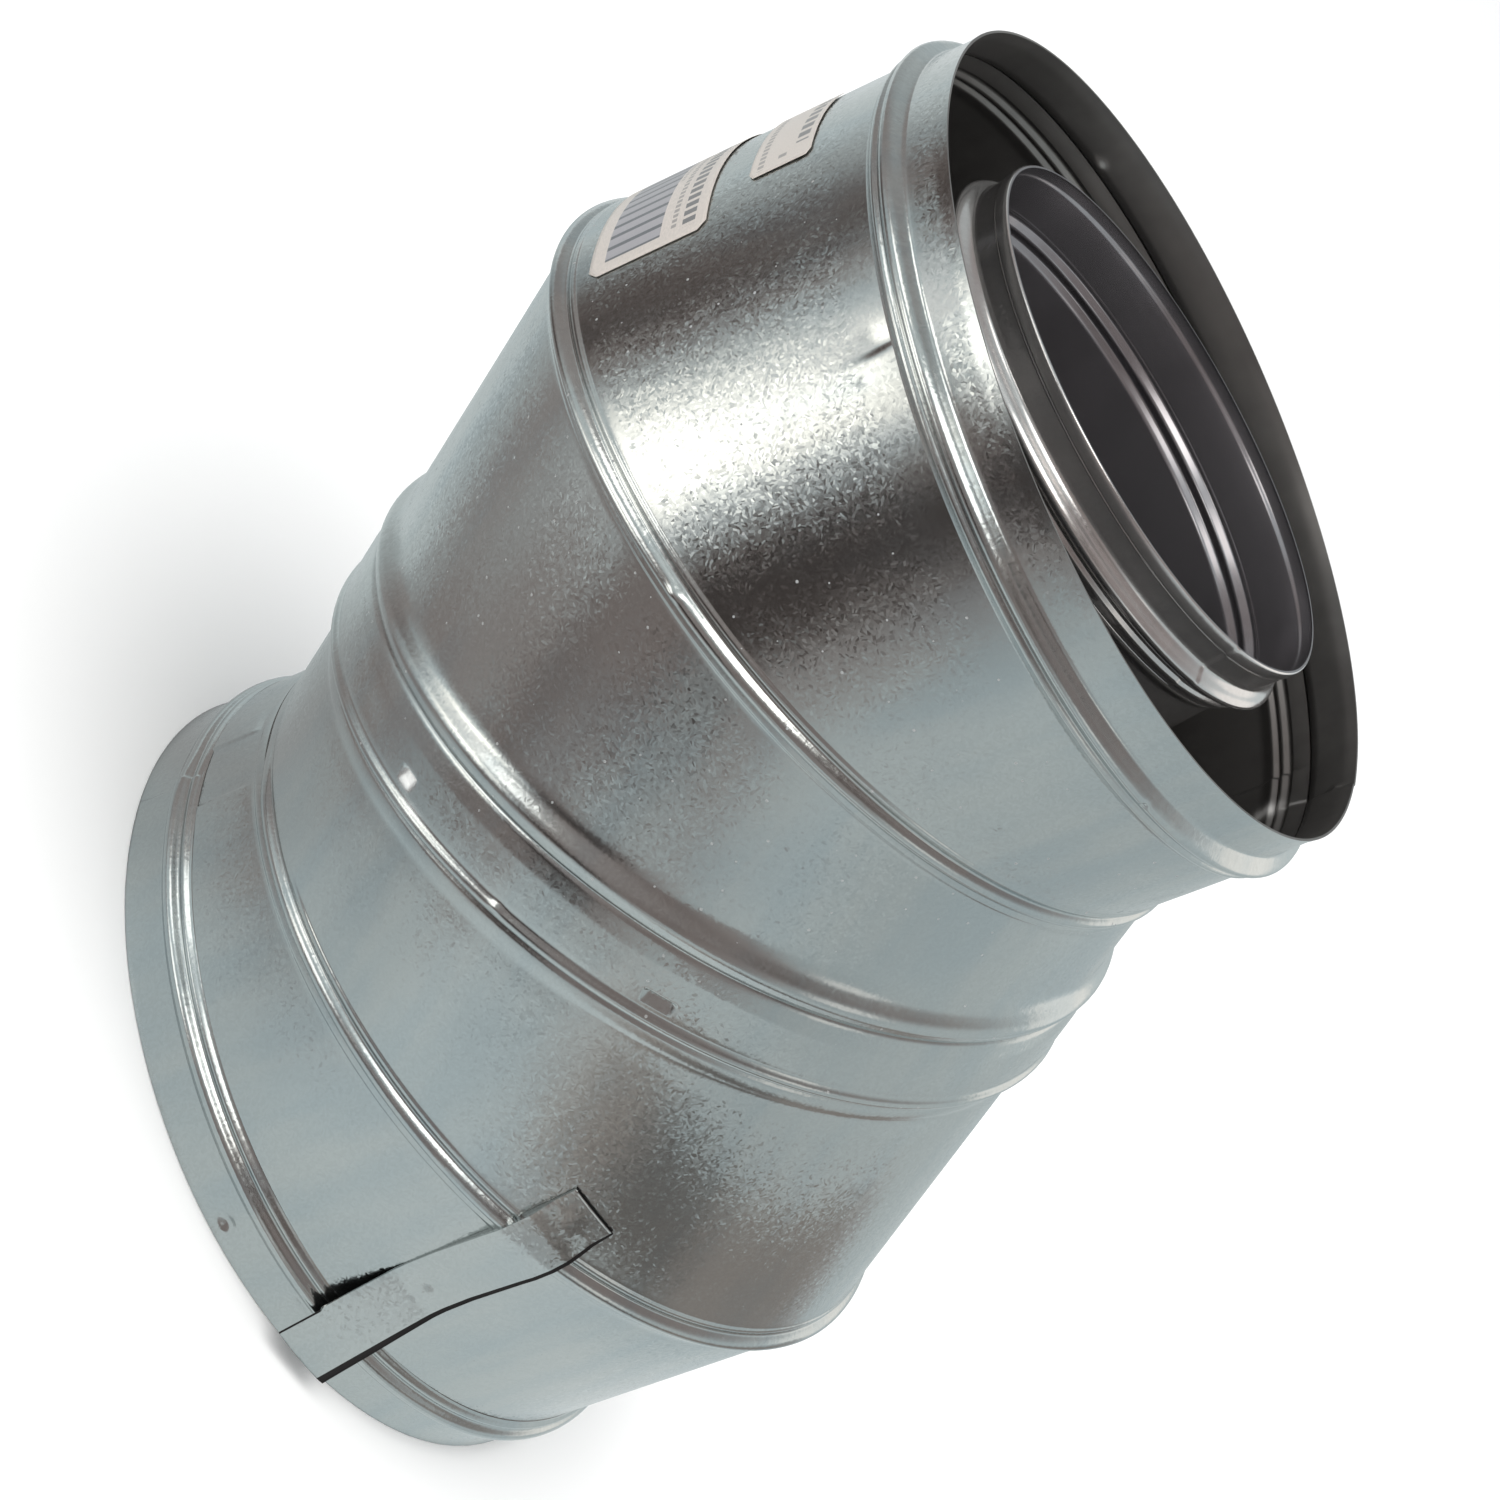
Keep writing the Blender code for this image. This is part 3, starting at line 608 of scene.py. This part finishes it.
seam_start = [held_back(18.0, 34.0, -6.0, 2.6, 0.30), held_back(44.0, 54.0, 2.8, 6.4, 0.0)]
ring(
    "lower_swivel_shell", MID,
    shifted(SHELL, [(-0.4, 69.2), (-0.4, 68.2), (0.9, 66.9), (-0.3, 65.3), (-0.3, 62.2),
                    (-0.1, 61.5), (0.15, 60.8), (0.15, 59.6), (0.0, 58.2), (-0.3, 57.0),
                    (-0.35, 56.0), (-0.2, 52.0)] + SEAM_OVER),
    SHELL_WALL, [galvanised["lower_swivel_gore"], shell_inside], "lower_half",
    "lower_swivel_gore",
    inner=shifted(SHELL, [(-1.0, 69.2), (-1.0, 68.2), (0.3, 66.9), (-0.9, 65.3), (-0.9, 62.2),
                          (-0.1, 60.2), (-1.0, 57.1), (-1.0, 52.0)] + SEAM_OVER_BACK),
    moves=[ripple(0.14, 5.0), lap(205.0, 0.5, 6.0, 52.0),
           crease(84.0, 36.0, math.radians(35.0), 16.0, 4.0, 0.12)],
    scales=seam_start, mitre=(SHELL_PLANE, 52.0, 6.0),
    fine_phi=[(205.0, 2.5, 0.15)], longest=4.0)

ring(
    "lower_gore_shell", LOW,
    shifted(SHELL, SEAM_UNDER, LOWER_HEIGHT) + shifted(SHELL, [(0.0, 20.0), (0.0, 13.2)]),
    SHELL_WALL, [galvanised["lower_end_gore"], shell_inside], "lower_half",
    "lower_end_gore",
    moves=[ripple(0.14, 6.0), lap(14.0, 0.5, 19.5, 60.0, -1.0), lap(26.0, 0.3, 19.5, 60.0),
           crease(70.0, 40.0, math.radians(25.0), 12.0, 4.0, 0.10)],
    mitre=(SHELL_PLANE, 20.0, LOWER_HEIGHT - 4.4),
    fine_phi=[(14.0, 2.5, 0.15), (26.0, 2.5, 0.15)], longest=4.0)

ring(
    "lower_collar_shell", LOW,
    shifted(SHELL, [(0.1, 19.9), (0.4, 19.4), (0.95, 18.9), (1.5, 18.3), (1.45, 17.7), (0.95, 17.0),
                    (1.6, 16.4), (2.8, 15.7), (3.4, 14.8), (3.35, 13.9), (2.7, 12.9),
                    (1.5, 12.0), (0.6, 11.4), (0.3, 10.6), (0.2, 7.0), (0.2, 3.5),
                    (0.4, 1.2), (0.7, 0.0)]),
    SHELL_WALL, [galvanised["lower_shell_collar"], shell_inside], "lower_half",
    "lower_shell_collar",
    moves=[ripple(0.10, 7.0), bump(86.0, 4.6, 2.4, 1.7, -1.1), bump(87.2, 8.8, 1.8, 1.5, 0.35),
           crease(35.0, 6.0, math.radians(10.0), 5.0, 2.0, 0.3), lap(20.0, 0.45, 0.5, 19.0)],
    scales=[held_back(12.0, 26.0, 11.6, 19.4, 0.5)],
    fine_phi=[(86.0, 3.0, 0.3), (20.0, 2.5, 0.15), (35.0, 2.5, 0.5)],
    fine_z=[(1.5, 10.5, 0.8)], longest=3.0)

# --- liner ------------------------------------------------------------------------------------
LINER_OVER = [(0.0, 6.0), (0.05, 4.9), (0.3, 4.3), (0.0, 3.4), (0.1, 2.5), (0.8, 1.8),
              (1.2, 0.7), (1.2, -0.3), (0.7, -1.1)]
LINER_OVER_BACK = [(-0.5, 6.0), (-0.5, 2.6), (0.2, 1.6), (0.7, 0.6), (0.7, -0.3), (0.5, -1.1)]
LINER_UNDER = [(0.3, -0.4), (0.35, -1.6), (0.3, -2.6), (0.0, -3.2), (0.0, -4.2)]
liner_skins = [liner_metal, liner_inside]

ring(
    "upper_liner_socket", LINER_TOP,
    shifted(LINER, [(1.95, 0.0), (2.25, 0.25), (2.3, 1.0), (2.25, 3.1), (1.85, 3.6),
                    (1.75, 8.4), (1.9, 9.4), (2.8, 10.3), (4.2, 11.1), (5.0, 12.0),
                    (5.1, 12.7), (4.7, 13.5), (3.6, 14.2), (2.3, 14.8), (1.9, 15.3),
                    (2.2, 15.9), (2.5, 16.5), (2.4, 17.0), (2.0, 17.8), (1.8, 18.6)],
            LINER_TOP_RUN, -1.0),
    LINER_WALL, liner_skins, "upper_half", "upper_liner_collar",
    inner=shifted(LINER, [(1.45, 0.0), (1.75, 0.4), (1.75, 3.0), (1.35, 3.8), (1.25, 8.4),
                          (1.25, 14.6), (1.45, 15.4), (1.55, 18.6)], LINER_TOP_RUN, -1.0),
    moves=[ripple(0.10, 8.0), lap(132.0, 0.45, 67.0, 90.0, radius=LINER)],
    fine_phi=[(132.0, 3.0, 0.25)], longest=2.5)

LINER_RIBS = [(0.75, 15.0), (0.9, 15.8), (-0.4, 17.4), (-0.45, 18.2), (0.5, 18.8), (0.7, 19.4),
              (0.65, 20.0), (-0.5, 21.6), (-0.5, 23.0)]
ring(
    "upper_liner_pipe", LINER_TOP,
    shifted(LINER, [(off + 0.45, z) for off, z in LINER_RIBS], LINER_TOP_RUN, -1.0)
    + shifted(LINER, LINER_OVER),
    LINER_WALL, liner_skins, "upper_half", "upper_liner_gore",
    inner=shifted(LINER, LINER_RIBS, LINER_TOP_RUN, -1.0) + shifted(LINER, LINER_OVER_BACK),
    moves=[ripple(0.12, 9.0)], mitre=(LINER_PLANE, LINER_TOP_RUN - 26.0, 6.0))

ring(
    "upper_liner_skirt", MID,
    shifted(LINER, LINER_UNDER, LINER_RUN)
    + shifted(LINER, [(0.0, 90.0), (0.0, 78.0), (0.4, 76.5), (0.4, 65.8), (-0.3, 63.6)]),
    LINER_WALL, liner_skins, "upper_half", "upper_liner_swivel",
    moves=[ripple(0.08, 10.0)], mitre=(LINER_PLANE, 90.0, LINER_RUN - 4.2))

ring(
    "lower_liner_neck", MID,
    shifted(LINER, [(-1.3, 72.0), (-1.3, 69.0), (-0.7, 67.5), (-1.3, 66.0), (-1.3, 62.5),
                    (0.0, 61.0), (0.0, 52.0)] + LINER_OVER),
    LINER_WALL, liner_skins, "lower_half", "lower_liner_swivel",
    inner=shifted(LINER, [(-1.8, 72.0), (-1.8, 62.5), (-0.5, 61.0), (-0.5, 52.0)]
                  + LINER_OVER_BACK),
    moves=[ripple(0.05, 11.0)], mitre=(SHELL_PLANE, 52.0, 6.0))

ring(
    "lower_liner_pipe", LOW,
    shifted(LINER, LINER_UNDER, LOWER_HEIGHT) + shifted(LINER, [(0.0, 23.0), (0.0, 17.0)]),
    LINER_WALL, liner_skins, "lower_half", "lower_liner_gore",
    moves=[ripple(0.08, 12.0)], mitre=(SHELL_PLANE, 23.0, LOWER_HEIGHT - 4.2))

ring(
    "lower_liner_spigot", LOW,
    shifted(LINER, [(0.9, 22.0), (1.0, 20.2), (1.7, 19.2), (2.6, 18.0), (1.9, 16.7),
                    (0.8, 15.7), (0.4, 14.8), (0.4, 5.0), (0.1, 3.0)]),
    LINER_WALL, liner_skins, "lower_half", "lower_liner_collar",
    moves=[ripple(0.06, 13.0), lap(150.0, 0.4, 3.0, 22.0, radius=LINER)],
    fine_phi=[(150.0, 3.0, 0.25)], longest=3.0)


# --- strap, labels and spacers ----------------------------------------------------------------
STRAP_COLUMNS = 27
STRAP_ROWS = 110
STRIP_LAST = 25          # columns 1 to this one are the strip itself
STRAP_BEARING = math.radians(104.7)
STRAP_SKEW = math.radians(1.8)
STRAP_WIDTH = 15.0
STRAP_TOP = 90.8
STRAP_FOOT = 5.0
STRAP_LIFTS = [(90.8, 0.4), (85.0, 0.4), (81.0, 1.6), (78.5, 2.15), (69.0, 2.15), (65.0, 1.7),
               (50.0, 0.45), (42.0, 0.42), (38.0, 0.75), (30.0, 2.3), (5.0, 7.35)]
STRAP_LINE = [(90.8, 0.7), (84.0, 1.1), (60.0, 1.3), (40.0, 1.5), (20.0, 2.0), (5.0, 2.2)]
STRAP_WELDS = ((85.3, -1.0, 2.6, 2.0, 0.5), (43.7, 0.5, 1.7, 1.4, -0.7))


def shell_reach(bearing, height):
    """Radius of the lower shell about the lower axis."""
    if height <= LOWER_HEIGHT - MITRE * SHELL * math.cos(bearing):
        return SHELL
    lean = math.radians(30.0)
    drift = (height - LOWER_HEIGHT) * math.tan(lean)
    squash = math.cos(lean) ** 2
    a = squash * math.cos(bearing) ** 2 + math.sin(bearing) ** 2
    b = -2.0 * squash * drift * math.cos(bearing)
    c = squash * drift ** 2 - SHELL ** 2
    return (-b + math.sqrt(b * b - 4.0 * a * c)) / (2.0 * a)


def read_line(stations, height):
    heights = [h for h, _ in reversed(stations)]
    values = [v for _, v in reversed(stations)]
    return float(np.interp(height, heights, values))


def thickened(obj, wall, edge_slot=0):
    """Gives a sheet its wall; its back and its edges take the material so many slots on."""
    sheet = obj.modifiers.new("sheet", "SOLIDIFY")
    sheet.thickness = wall * MM
    sheet.offset = 1.0
    sheet.material_offset = edge_slot
    sheet.material_offset_rim = edge_slot


def wrapped(name, axis, columns, rows, place):
    """A grid wrapped round an axis; place gives (bearing, radius, height) from 0..1 shares."""
    points = np.zeros((rows + 1, columns + 1, 3))
    v = np.zeros((rows + 1, columns + 1))
    for i in range(rows + 1):
        for j in range(columns + 1):
            bearing, radius, height = place(j / columns, 1.0 - i / rows)
            spot = np.array((radius * math.cos(bearing), radius * math.sin(bearing), height)) * MM
            points[i, j] = axis.world(spot[0:1], spot[1:2], spot[2:3])[0]
            v[i, j] = 1.0 - i / rows
    u = np.linspace(0.0, 1.0, columns + 1)
    return grid_object(name, points, (u, v), False, False)


def strap_place(across, up):
    """Column 0 turns in to the shell; the columns past the strip are its lower edge, turned down to the shell and
    coloured near-black as painted shadow.
    """
    column = round(across * STRAP_COLUMNS)
    share = min(max((column - 1) / (STRIP_LAST - 1), 0.0), 1.0)
    height = STRAP_FOOT + up * (STRAP_TOP - STRAP_FOOT)
    line = read_line(STRAP_LINE, height)
    spread = (share - 0.5) * STRAP_WIDTH + max(column - STRIP_LAST, 0) * 0.5 * line
    bearing = STRAP_BEARING + (0.5 - up) * STRAP_SKEW + spread / SHELL
    welds = 0.0
    for at, side, wide, long, rise in STRAP_WELDS:
        welds += rise * math.exp(-(((height - at) / long) ** 2 + ((spread - side) / wide) ** 2))
    twist = 0.35 * (share - 0.5) * max(0.0, 1.0 - height / 40.0)
    lift = read_line(STRAP_LIFTS, height)
    if column == 0:
        welds, twist = 0.0, 0.0
        turned = min(max((height - 36.0) / 8.0, 0.0), 1.0)
        lift = lift + turned * (0.05 - lift) - 0.1 * (1.0 - turned)
    if column > STRIP_LAST:
        lift -= 0.12 * (column - STRIP_LAST)
    return bearing, shell_reach(bearing, height) + lift + welds + twist, height


strap = wrapped("strap_strip", LOW, STRAP_COLUMNS, STRAP_ROWS, strap_place)
strap.data.materials.append(galvanised["support_strap"])
for corner in strap.data.uv_layers["UVMap"].data:
    corner.uv = (corner.uv[0] * STRAP_WIDTH * MM, corner.uv[1] * (STRAP_TOP - STRAP_FOOT) * MM)
strap.data.materials.append(painted_shadow_edge)
# The lower edge columns take the near-black painted shadow; the sheet's back and rims take it too.
painted_shadow_faces = np.tile(np.arange(STRAP_COLUMNS) >= STRIP_LAST, STRAP_ROWS)
strap.data.polygons.foreach_set("material_index", painted_shadow_faces.astype(np.int32))
thickened(strap, 0.5, edge_slot=1)
finish_mesh(strap)
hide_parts("support_strap")
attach(strap, "lower_half")


def label(name, node, first, last, low, high, chamfer, material):
    def place(across, up):
        cut = chamfer * max(0.0, abs(up - 0.5) * 2.0 - 0.86) / 0.14
        end = last - cut if across > 0.5 else last
        bearing = first + across * (end - first)
        return math.radians(bearing), SHELL + 0.30, low + up * (high - low)
    made = wrapped(name, TOP, 40, 28, place)
    made.data.materials.append(material)
    thickened(made, 0.10)
    finish_mesh(made)
    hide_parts(node)
    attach(made, "upper_half")
    return made


large_print = printed(
    "label_large_paper",
    [(0.05, 0.955, 0.79, 0.90, 22.0, 0.85), (0.05, 0.93, 0.69, 0.735, 34.0, 0.55),
     (0.05, 0.60, 0.62, 0.65, 40.0, 0.4)],
    (0.30, 0.945, 0.13, 0.60, 15.0))
small_print = printed(
    "label_small_paper",
    [(0.10, 0.80, 0.70, 0.90, 9.0, 0.8), (0.86, 0.90, 0.45, 0.58, 0.0, 0.6),
     (0.10, 0.95, 0.12, 0.22, 18.0, 0.55)],
    None)
label("label_large_sheet", "label_large", -19.0, 23.5, -16.1, 15.4, 1.4, large_print)
label("label_small_sheet", "label_small", -5.0, 17.5, 25.6, 41.9, 1.2, small_print)

for node, obj in frame["nodes"].items():
    if "spacer" in node:
        obj.data.materials.clear()
        obj.data.materials.append(strip_metal)


# --- floor, light and camera --------------------------------------------------------------------
def studio_floor():
    made = bpy.data.materials.new("floor_pale")
    g = Graph(made)
    cloud = g.noise(g.node("TexCoord").outputs["Object"], 3.0, 2.0)
    g.surface(Base_Color=g.mix(g.ramp(cloud, 0.3, 0.7), rgb(0.93, 0.93, 0.93), rgb(0.95, 0.95, 0.95)),
              Roughness=0.9)
    build = bmesh.new()
    bmesh.ops.create_grid(build, x_segments=2, y_segments=2, size=8.0)
    mesh = bpy.data.meshes.new("floor")
    build.to_mesh(mesh)
    build.free()
    floor = bpy.data.objects.new("floor", mesh)
    floor.location = (0.0, 0.0, -0.0002)
    bpy.context.scene.collection.objects.link(floor)
    mesh.materials.append(made)


def lifted(level):
    """Opens the light greys a little."""
    return level * (1.0 + 0.02 * min(max((level - 0.42) / 0.12, 0.0), 1.0))


def colour_wheel(g, turn, stops):
    """A colour ramp over a full turn, from (degrees, level) stops; low levels are warmer."""
    made = g.node("ValToRGB", {"Fac": turn})
    elements = made.color_ramp.elements
    made.color_ramp.interpolation = "EASE"
    while len(elements) > 1:
        elements.remove(elements[-1])
    elements[0].position = 0.0
    for degrees, plain in stops:
        level = lifted(plain)
        spot = elements.new((degrees + 180.0) / 360.0) if degrees > -180 else elements[0]
        warm = min(max((0.42 - level) / 0.30, 0.0), 1.0)
        cool = min(max((level - 0.3) / 0.2, 0.0), 1.0) * min(max((1.0 - level) / 0.3, 0.0), 1.0)
        cream = min(max((level - 0.9) / 0.4, 0.0), 1.0)
        red = level * (1.0 + 0.26 * warm - 0.09 * cool + 0.03 * cream)
        blue = level * (1.0 - 0.07 * warm + 0.01 * cool - 0.07 * cream)
        spot.color = (red, level, blue, 1.0)
    return made.outputs["Color"]


# Rings of the bounce board: reach in metres, then (bearing, level) all the way round.
BOARD_RINGS = [
    (0.125, [(-180, .78), (-110, .62), (-45, .60), (-22, .46), (2, .40), (20, .46), (45, .60),
             (90, .66), (140, .70), (180, .78)]),
    (0.180, [(-180, .73), (-110, .66), (-45, .63), (-28, .70), (-12, .64), (0, .42), (14, .24),
             (26, .27), (44, .44), (60, .60), (74, .70), (120, .72), (180, .74)]),
    (0.235, [(-180, .62), (-60, .75), (-46, .62), (-32, .70), (-16, .50), (3, .29), (16, .38),
             (34, .27), (49, .17), (62, .34), (75, .64), (100, .70), (130, .74), (180, .62)]),
    (0.330, [(-180, .60), (-60, .66), (-38, .64), (-22, .46), (1, .26), (12, .52), (24, .74),
             (36, .64), (50, .20), (66, .20), (80, .42), (95, .54), (120, .38), (145, .55), (180, .60)]),
    (0.520, [(-180, .58), (-110, .60), (-72, .72), (-58, .58), (-44, .68), (-30, .46), (-13, .10),
             (-4, .05), (3, .16), (9, .38), (14, .72), (18, 1.25), (24, 2.05), (31, 2.75), (38, 2.55),
             (43, 1.8), (47, .95), (51, .45), (56, .12), (62, .03), (76, .05), (92, .30),
             (112, .60), (180, .58)]),
    (0.800, [(-180, .56), (-110, .58), (-72, .80), (-44, .72), (-30, .46), (-14, .12), (-6, .07),
             (0, .13), (6, .26), (13, .54), (18, .74), (23, .84), (28, 1.1), (33, 2.0), (38, 1.75),
             (43, 1.35), (48, .90), (53, .44), (58, .15), (64, .04), (74, .03), (82, .09),
             (92, .34), (106, .50), (122, .62), (180, .56)]),
    (1.200, [(-180, .56), (-110, .58), (-72, .84), (-44, .76), (-30, .46), (-14, .22), (2, .48),
             (24, .95), (40, .55), (56, .16), (74, .05), (88, .28), (106, .50), (122, .62), (180, .56)]),
]
# The studio above the horizon, low and high, and soft boxes as (bearing, height, half width
# in degrees, level).
SKY_LOW = [(-180, .58), (-132, .68), (-84, .60), (-60, .46), (-36, .28), (-14, .31), (4, .66),
           (28, .62), (44, .34), (66, .26), (92, .19), (112, .26), (136, .50), (180, .58)]
SOFTBOXES = [(50.0, 66.0, 15.0, 3.2), (2.0, 44.0, 11.0, 2.4), (33.0, 12.0, 15.0, 2.2),
             (143.0, 32.0, 10.0, 0.9), (-138.0, 20.0, 16.0, 1.1)]
SKY_HIGH = [(-180, .22), (-130, .30), (-80, .26), (-50, .34), (-12, .50), (20, .64), (50, .60),
            (84, .32), (110, .10), (150, .22), (180, .22)]
STAGE_REACH = 3.0        # radius of the board and the dome
FLAG_FROM = 92.0         # bearings of the low flag's two ends
FLAG_TO = 190.0
FLAG_REACH = 200.0


def direction_parts(g):
    """Bearing share, level reach and height of a stage piece's own coordinates."""
    where = g.node("SeparateXYZ", {"Vector": g.node("TexCoord").outputs["Object"]})
    x, y = where.outputs[0], where.outputs[1]
    turn = g.math("ADD", g.math("DIVIDE", g.math("ARCTAN2", y, x), math.tau), 0.5)
    reach = g.math("SQRT", g.math("ADD", g.math("MULTIPLY", x, x), g.math("MULTIPLY", y, y)))
    return turn, reach, where.outputs[2]


def glowing(name, mesh, paint):
    """A stage piece that glows with the colour paint(graph) returns and is only mirrored."""
    made = bpy.data.materials.new(name)
    g = Graph(made)
    glow = g.node("Emission", {"Color": paint(g), "Strength": 1.0})
    g.tree.links.new(glow.outputs[0], g.node("OutputMaterial").inputs[0])
    mesh.materials.append(made)
    piece = bpy.data.objects.new(name, mesh)
    piece.location = (lower_centre.x, lower_centre.y, -0.0001)
    bpy.context.scene.collection.objects.link(piece)
    mirror_only(piece)


def bounce_board():
    """What the metal mirrors low down: a soft pattern of light and shade lying on the floor."""
    def paint(g):
        turn, reach, _ = direction_parts(g)
        inner, stops = BOARD_RINGS[0]
        colour = colour_wheel(g, turn, stops)
        for outer, stops in BOARD_RINGS[1:]:
            colour = g.mix(g.ramp(reach, inner, outer), colour, colour_wheel(g, turn, stops))
            inner = outer
        return g.mix(g.ramp(reach, 0.100, 0.104), rgb(0.02, 0.02, 0.024), colour)
    build = bmesh.new()
    bmesh.ops.create_circle(build, cap_ends=True, segments=96, radius=STAGE_REACH)
    mesh = bpy.data.meshes.new("bounce_board")
    build.to_mesh(mesh)
    build.free()
    glowing("bounce_board", mesh, paint)


def studio_dome():
    """What the metal mirrors above the horizon: grey walls with a lit side and dark corners."""
    def paint(g):
        turn, _, height = direction_parts(g)
        low, high = colour_wheel(g, turn, SKY_LOW), colour_wheel(g, turn, SKY_HIGH)
        walls = g.mix(g.ramp(height, 1.5, 2.5), low, high)
        facing = g.vector("NORMALIZE", g.node("TexCoord").outputs["Object"])
        for bearing, height_angle, half, level in SOFTBOXES:
            flat = math.cos(math.radians(height_angle))
            aim = (flat * math.cos(math.radians(bearing)), flat * math.sin(math.radians(bearing)),
                   math.sin(math.radians(height_angle)))
            near = g.node("VectorMath", {0: facing, 1: aim}, operation="DOT_PRODUCT").outputs["Value"]
            edge = math.cos(math.radians(half)), math.cos(math.radians(half * 0.7))
            walls = g.mix(g.ramp(near, *edge), walls, rgb(level, 0.98 * level, 0.94 * level))
        return walls
    build = bmesh.new()
    bmesh.ops.create_uvsphere(build, u_segments=48, v_segments=32, radius=STAGE_REACH)
    below = [v for v in build.verts if v.co.z < -0.001]
    bmesh.ops.delete(build, geom=below, context="VERTS")
    mesh = bpy.data.meshes.new("studio_dome")
    build.to_mesh(mesh)
    build.free()
    glowing("studio_dome", mesh, paint)


def mirror_only(card):
    """Lets a card be seen in reflections and nowhere else."""
    card.visible_camera = False
    card.visible_diffuse = False
    card.visible_shadow = False
    card.visible_transmission = False
    card.visible_volume_scatter = False


def low_flag():
    """A dark curved strip hung near the -X side, low enough for one gore only to mirror it."""
    def place(across, up):
        bearing = FLAG_FROM + across * (FLAG_TO - FLAG_FROM)
        low = 38.0 + 22.0 * min(across * 2.0, 1.0)
        high = 100.0 + 34.0 * across
        return math.radians(bearing), FLAG_REACH, low + up * (high - low)
    made = bpy.data.materials.new("flag_dark")
    g = Graph(made)
    where = g.node("SeparateXYZ", {"Vector": g.node("TexCoord").outputs["UV"]})
    tone = g.node("ValToRGB", {"Fac": where.outputs[0]})
    tone.color_ramp.elements[0].color = (0.60, 0.64, 0.64, 1.0)
    tone.color_ramp.elements[1].color = (0.45, 0.46, 0.46, 1.0)
    for share, level in ((0.16, 0.32), (0.34, 0.13), (0.48, 0.14), (0.60, 0.26), (0.9, 0.27)):
        tone.color_ramp.elements.new(share).color = (1.12 * level, level, 0.93 * level, 1.0)
    edge = g.math("MINIMUM", where.outputs[1], g.math("SUBTRACT", 1.0, where.outputs[1]))
    shade = g.mix(g.ramp(edge, 0.0, 0.22), rgb(0.56, 0.60, 0.60), tone.outputs["Color"])
    glow = g.node("Emission", {"Color": shade, "Strength": 1.0})
    g.tree.links.new(glow.outputs[0], g.node("OutputMaterial").inputs[0])
    card = wrapped("low_flag", LOW, 36, 6, place)
    card.data.materials.append(made)
    mirror_only(card)


def soft_light(name, place, aim, size, power, colour, glossy):
    lamp = bpy.data.lights.new(name, "AREA")
    lamp.shape = "RECTANGLE"
    lamp.size, lamp.size_y = size
    lamp.energy = power
    lamp.color = colour
    made = bpy.data.objects.new(name, lamp)
    made.location = place
    made.rotation_mode = "QUATERNION"
    made.rotation_quaternion = (Vector(place) - Vector(aim)).to_track_quat("Z", "Y")
    made.visible_glossy = glossy
    bpy.context.scene.collection.objects.link(made)


def sky():
    world = bpy.data.worlds.new("studio")
    g = Graph(world)
    direction = g.node("TexCoord").outputs["Generated"]
    height = g.node("SeparateXYZ", {"Vector": direction}).outputs[2]
    tone = g.mix(g.ramp(height, 0.0, 0.9), rgb(0.74, 0.77, 0.78), rgb(1.0, 1.0, 1.0))
    back = g.node("Background", {"Color": tone, "Strength": 1.0})
    end = g.node("OutputWorld")
    g.tree.links.new(back.outputs[0], end.inputs[0])
    bpy.context.scene.world = world


def camera():
    """Looks from above the +Y side, rolled so that the pipe's axis runs up to the right."""
    place = Vector((0.2696, 0.8935, 0.5425)) + Vector((lower_centre.x, lower_centre.y, 0.0))
    back = Vector((0.2277, 0.8871, 0.4016)).normalized()
    up = Vector((0.8588, -0.3773, 0.3466))
    up = (up - back * up.dot(back)).normalized()
    right = up.cross(back)
    data = bpy.data.cameras.new("camera")
    data.lens = 98.26
    data.sensor_width = 36.0
    made = bpy.data.objects.new("camera", data)
    made.matrix_world = Matrix((right, up, back)).transposed().to_4x4()
    made.location = place
    bpy.context.scene.collection.objects.link(made)
    bpy.context.scene.camera = made


studio_floor()
bounce_board()
studio_dome()
low_flag()
sky()
soft_light("key_overhead", place=(0.3, 0.5, 1.8), aim=(0.0, 0.0, 0.1), size=(1.6, 1.6),
           power=22.0, colour=(1.0, 0.99, 0.97), glossy=False)
camera()
bpy.context.scene.view_settings.view_transform = "Standard"
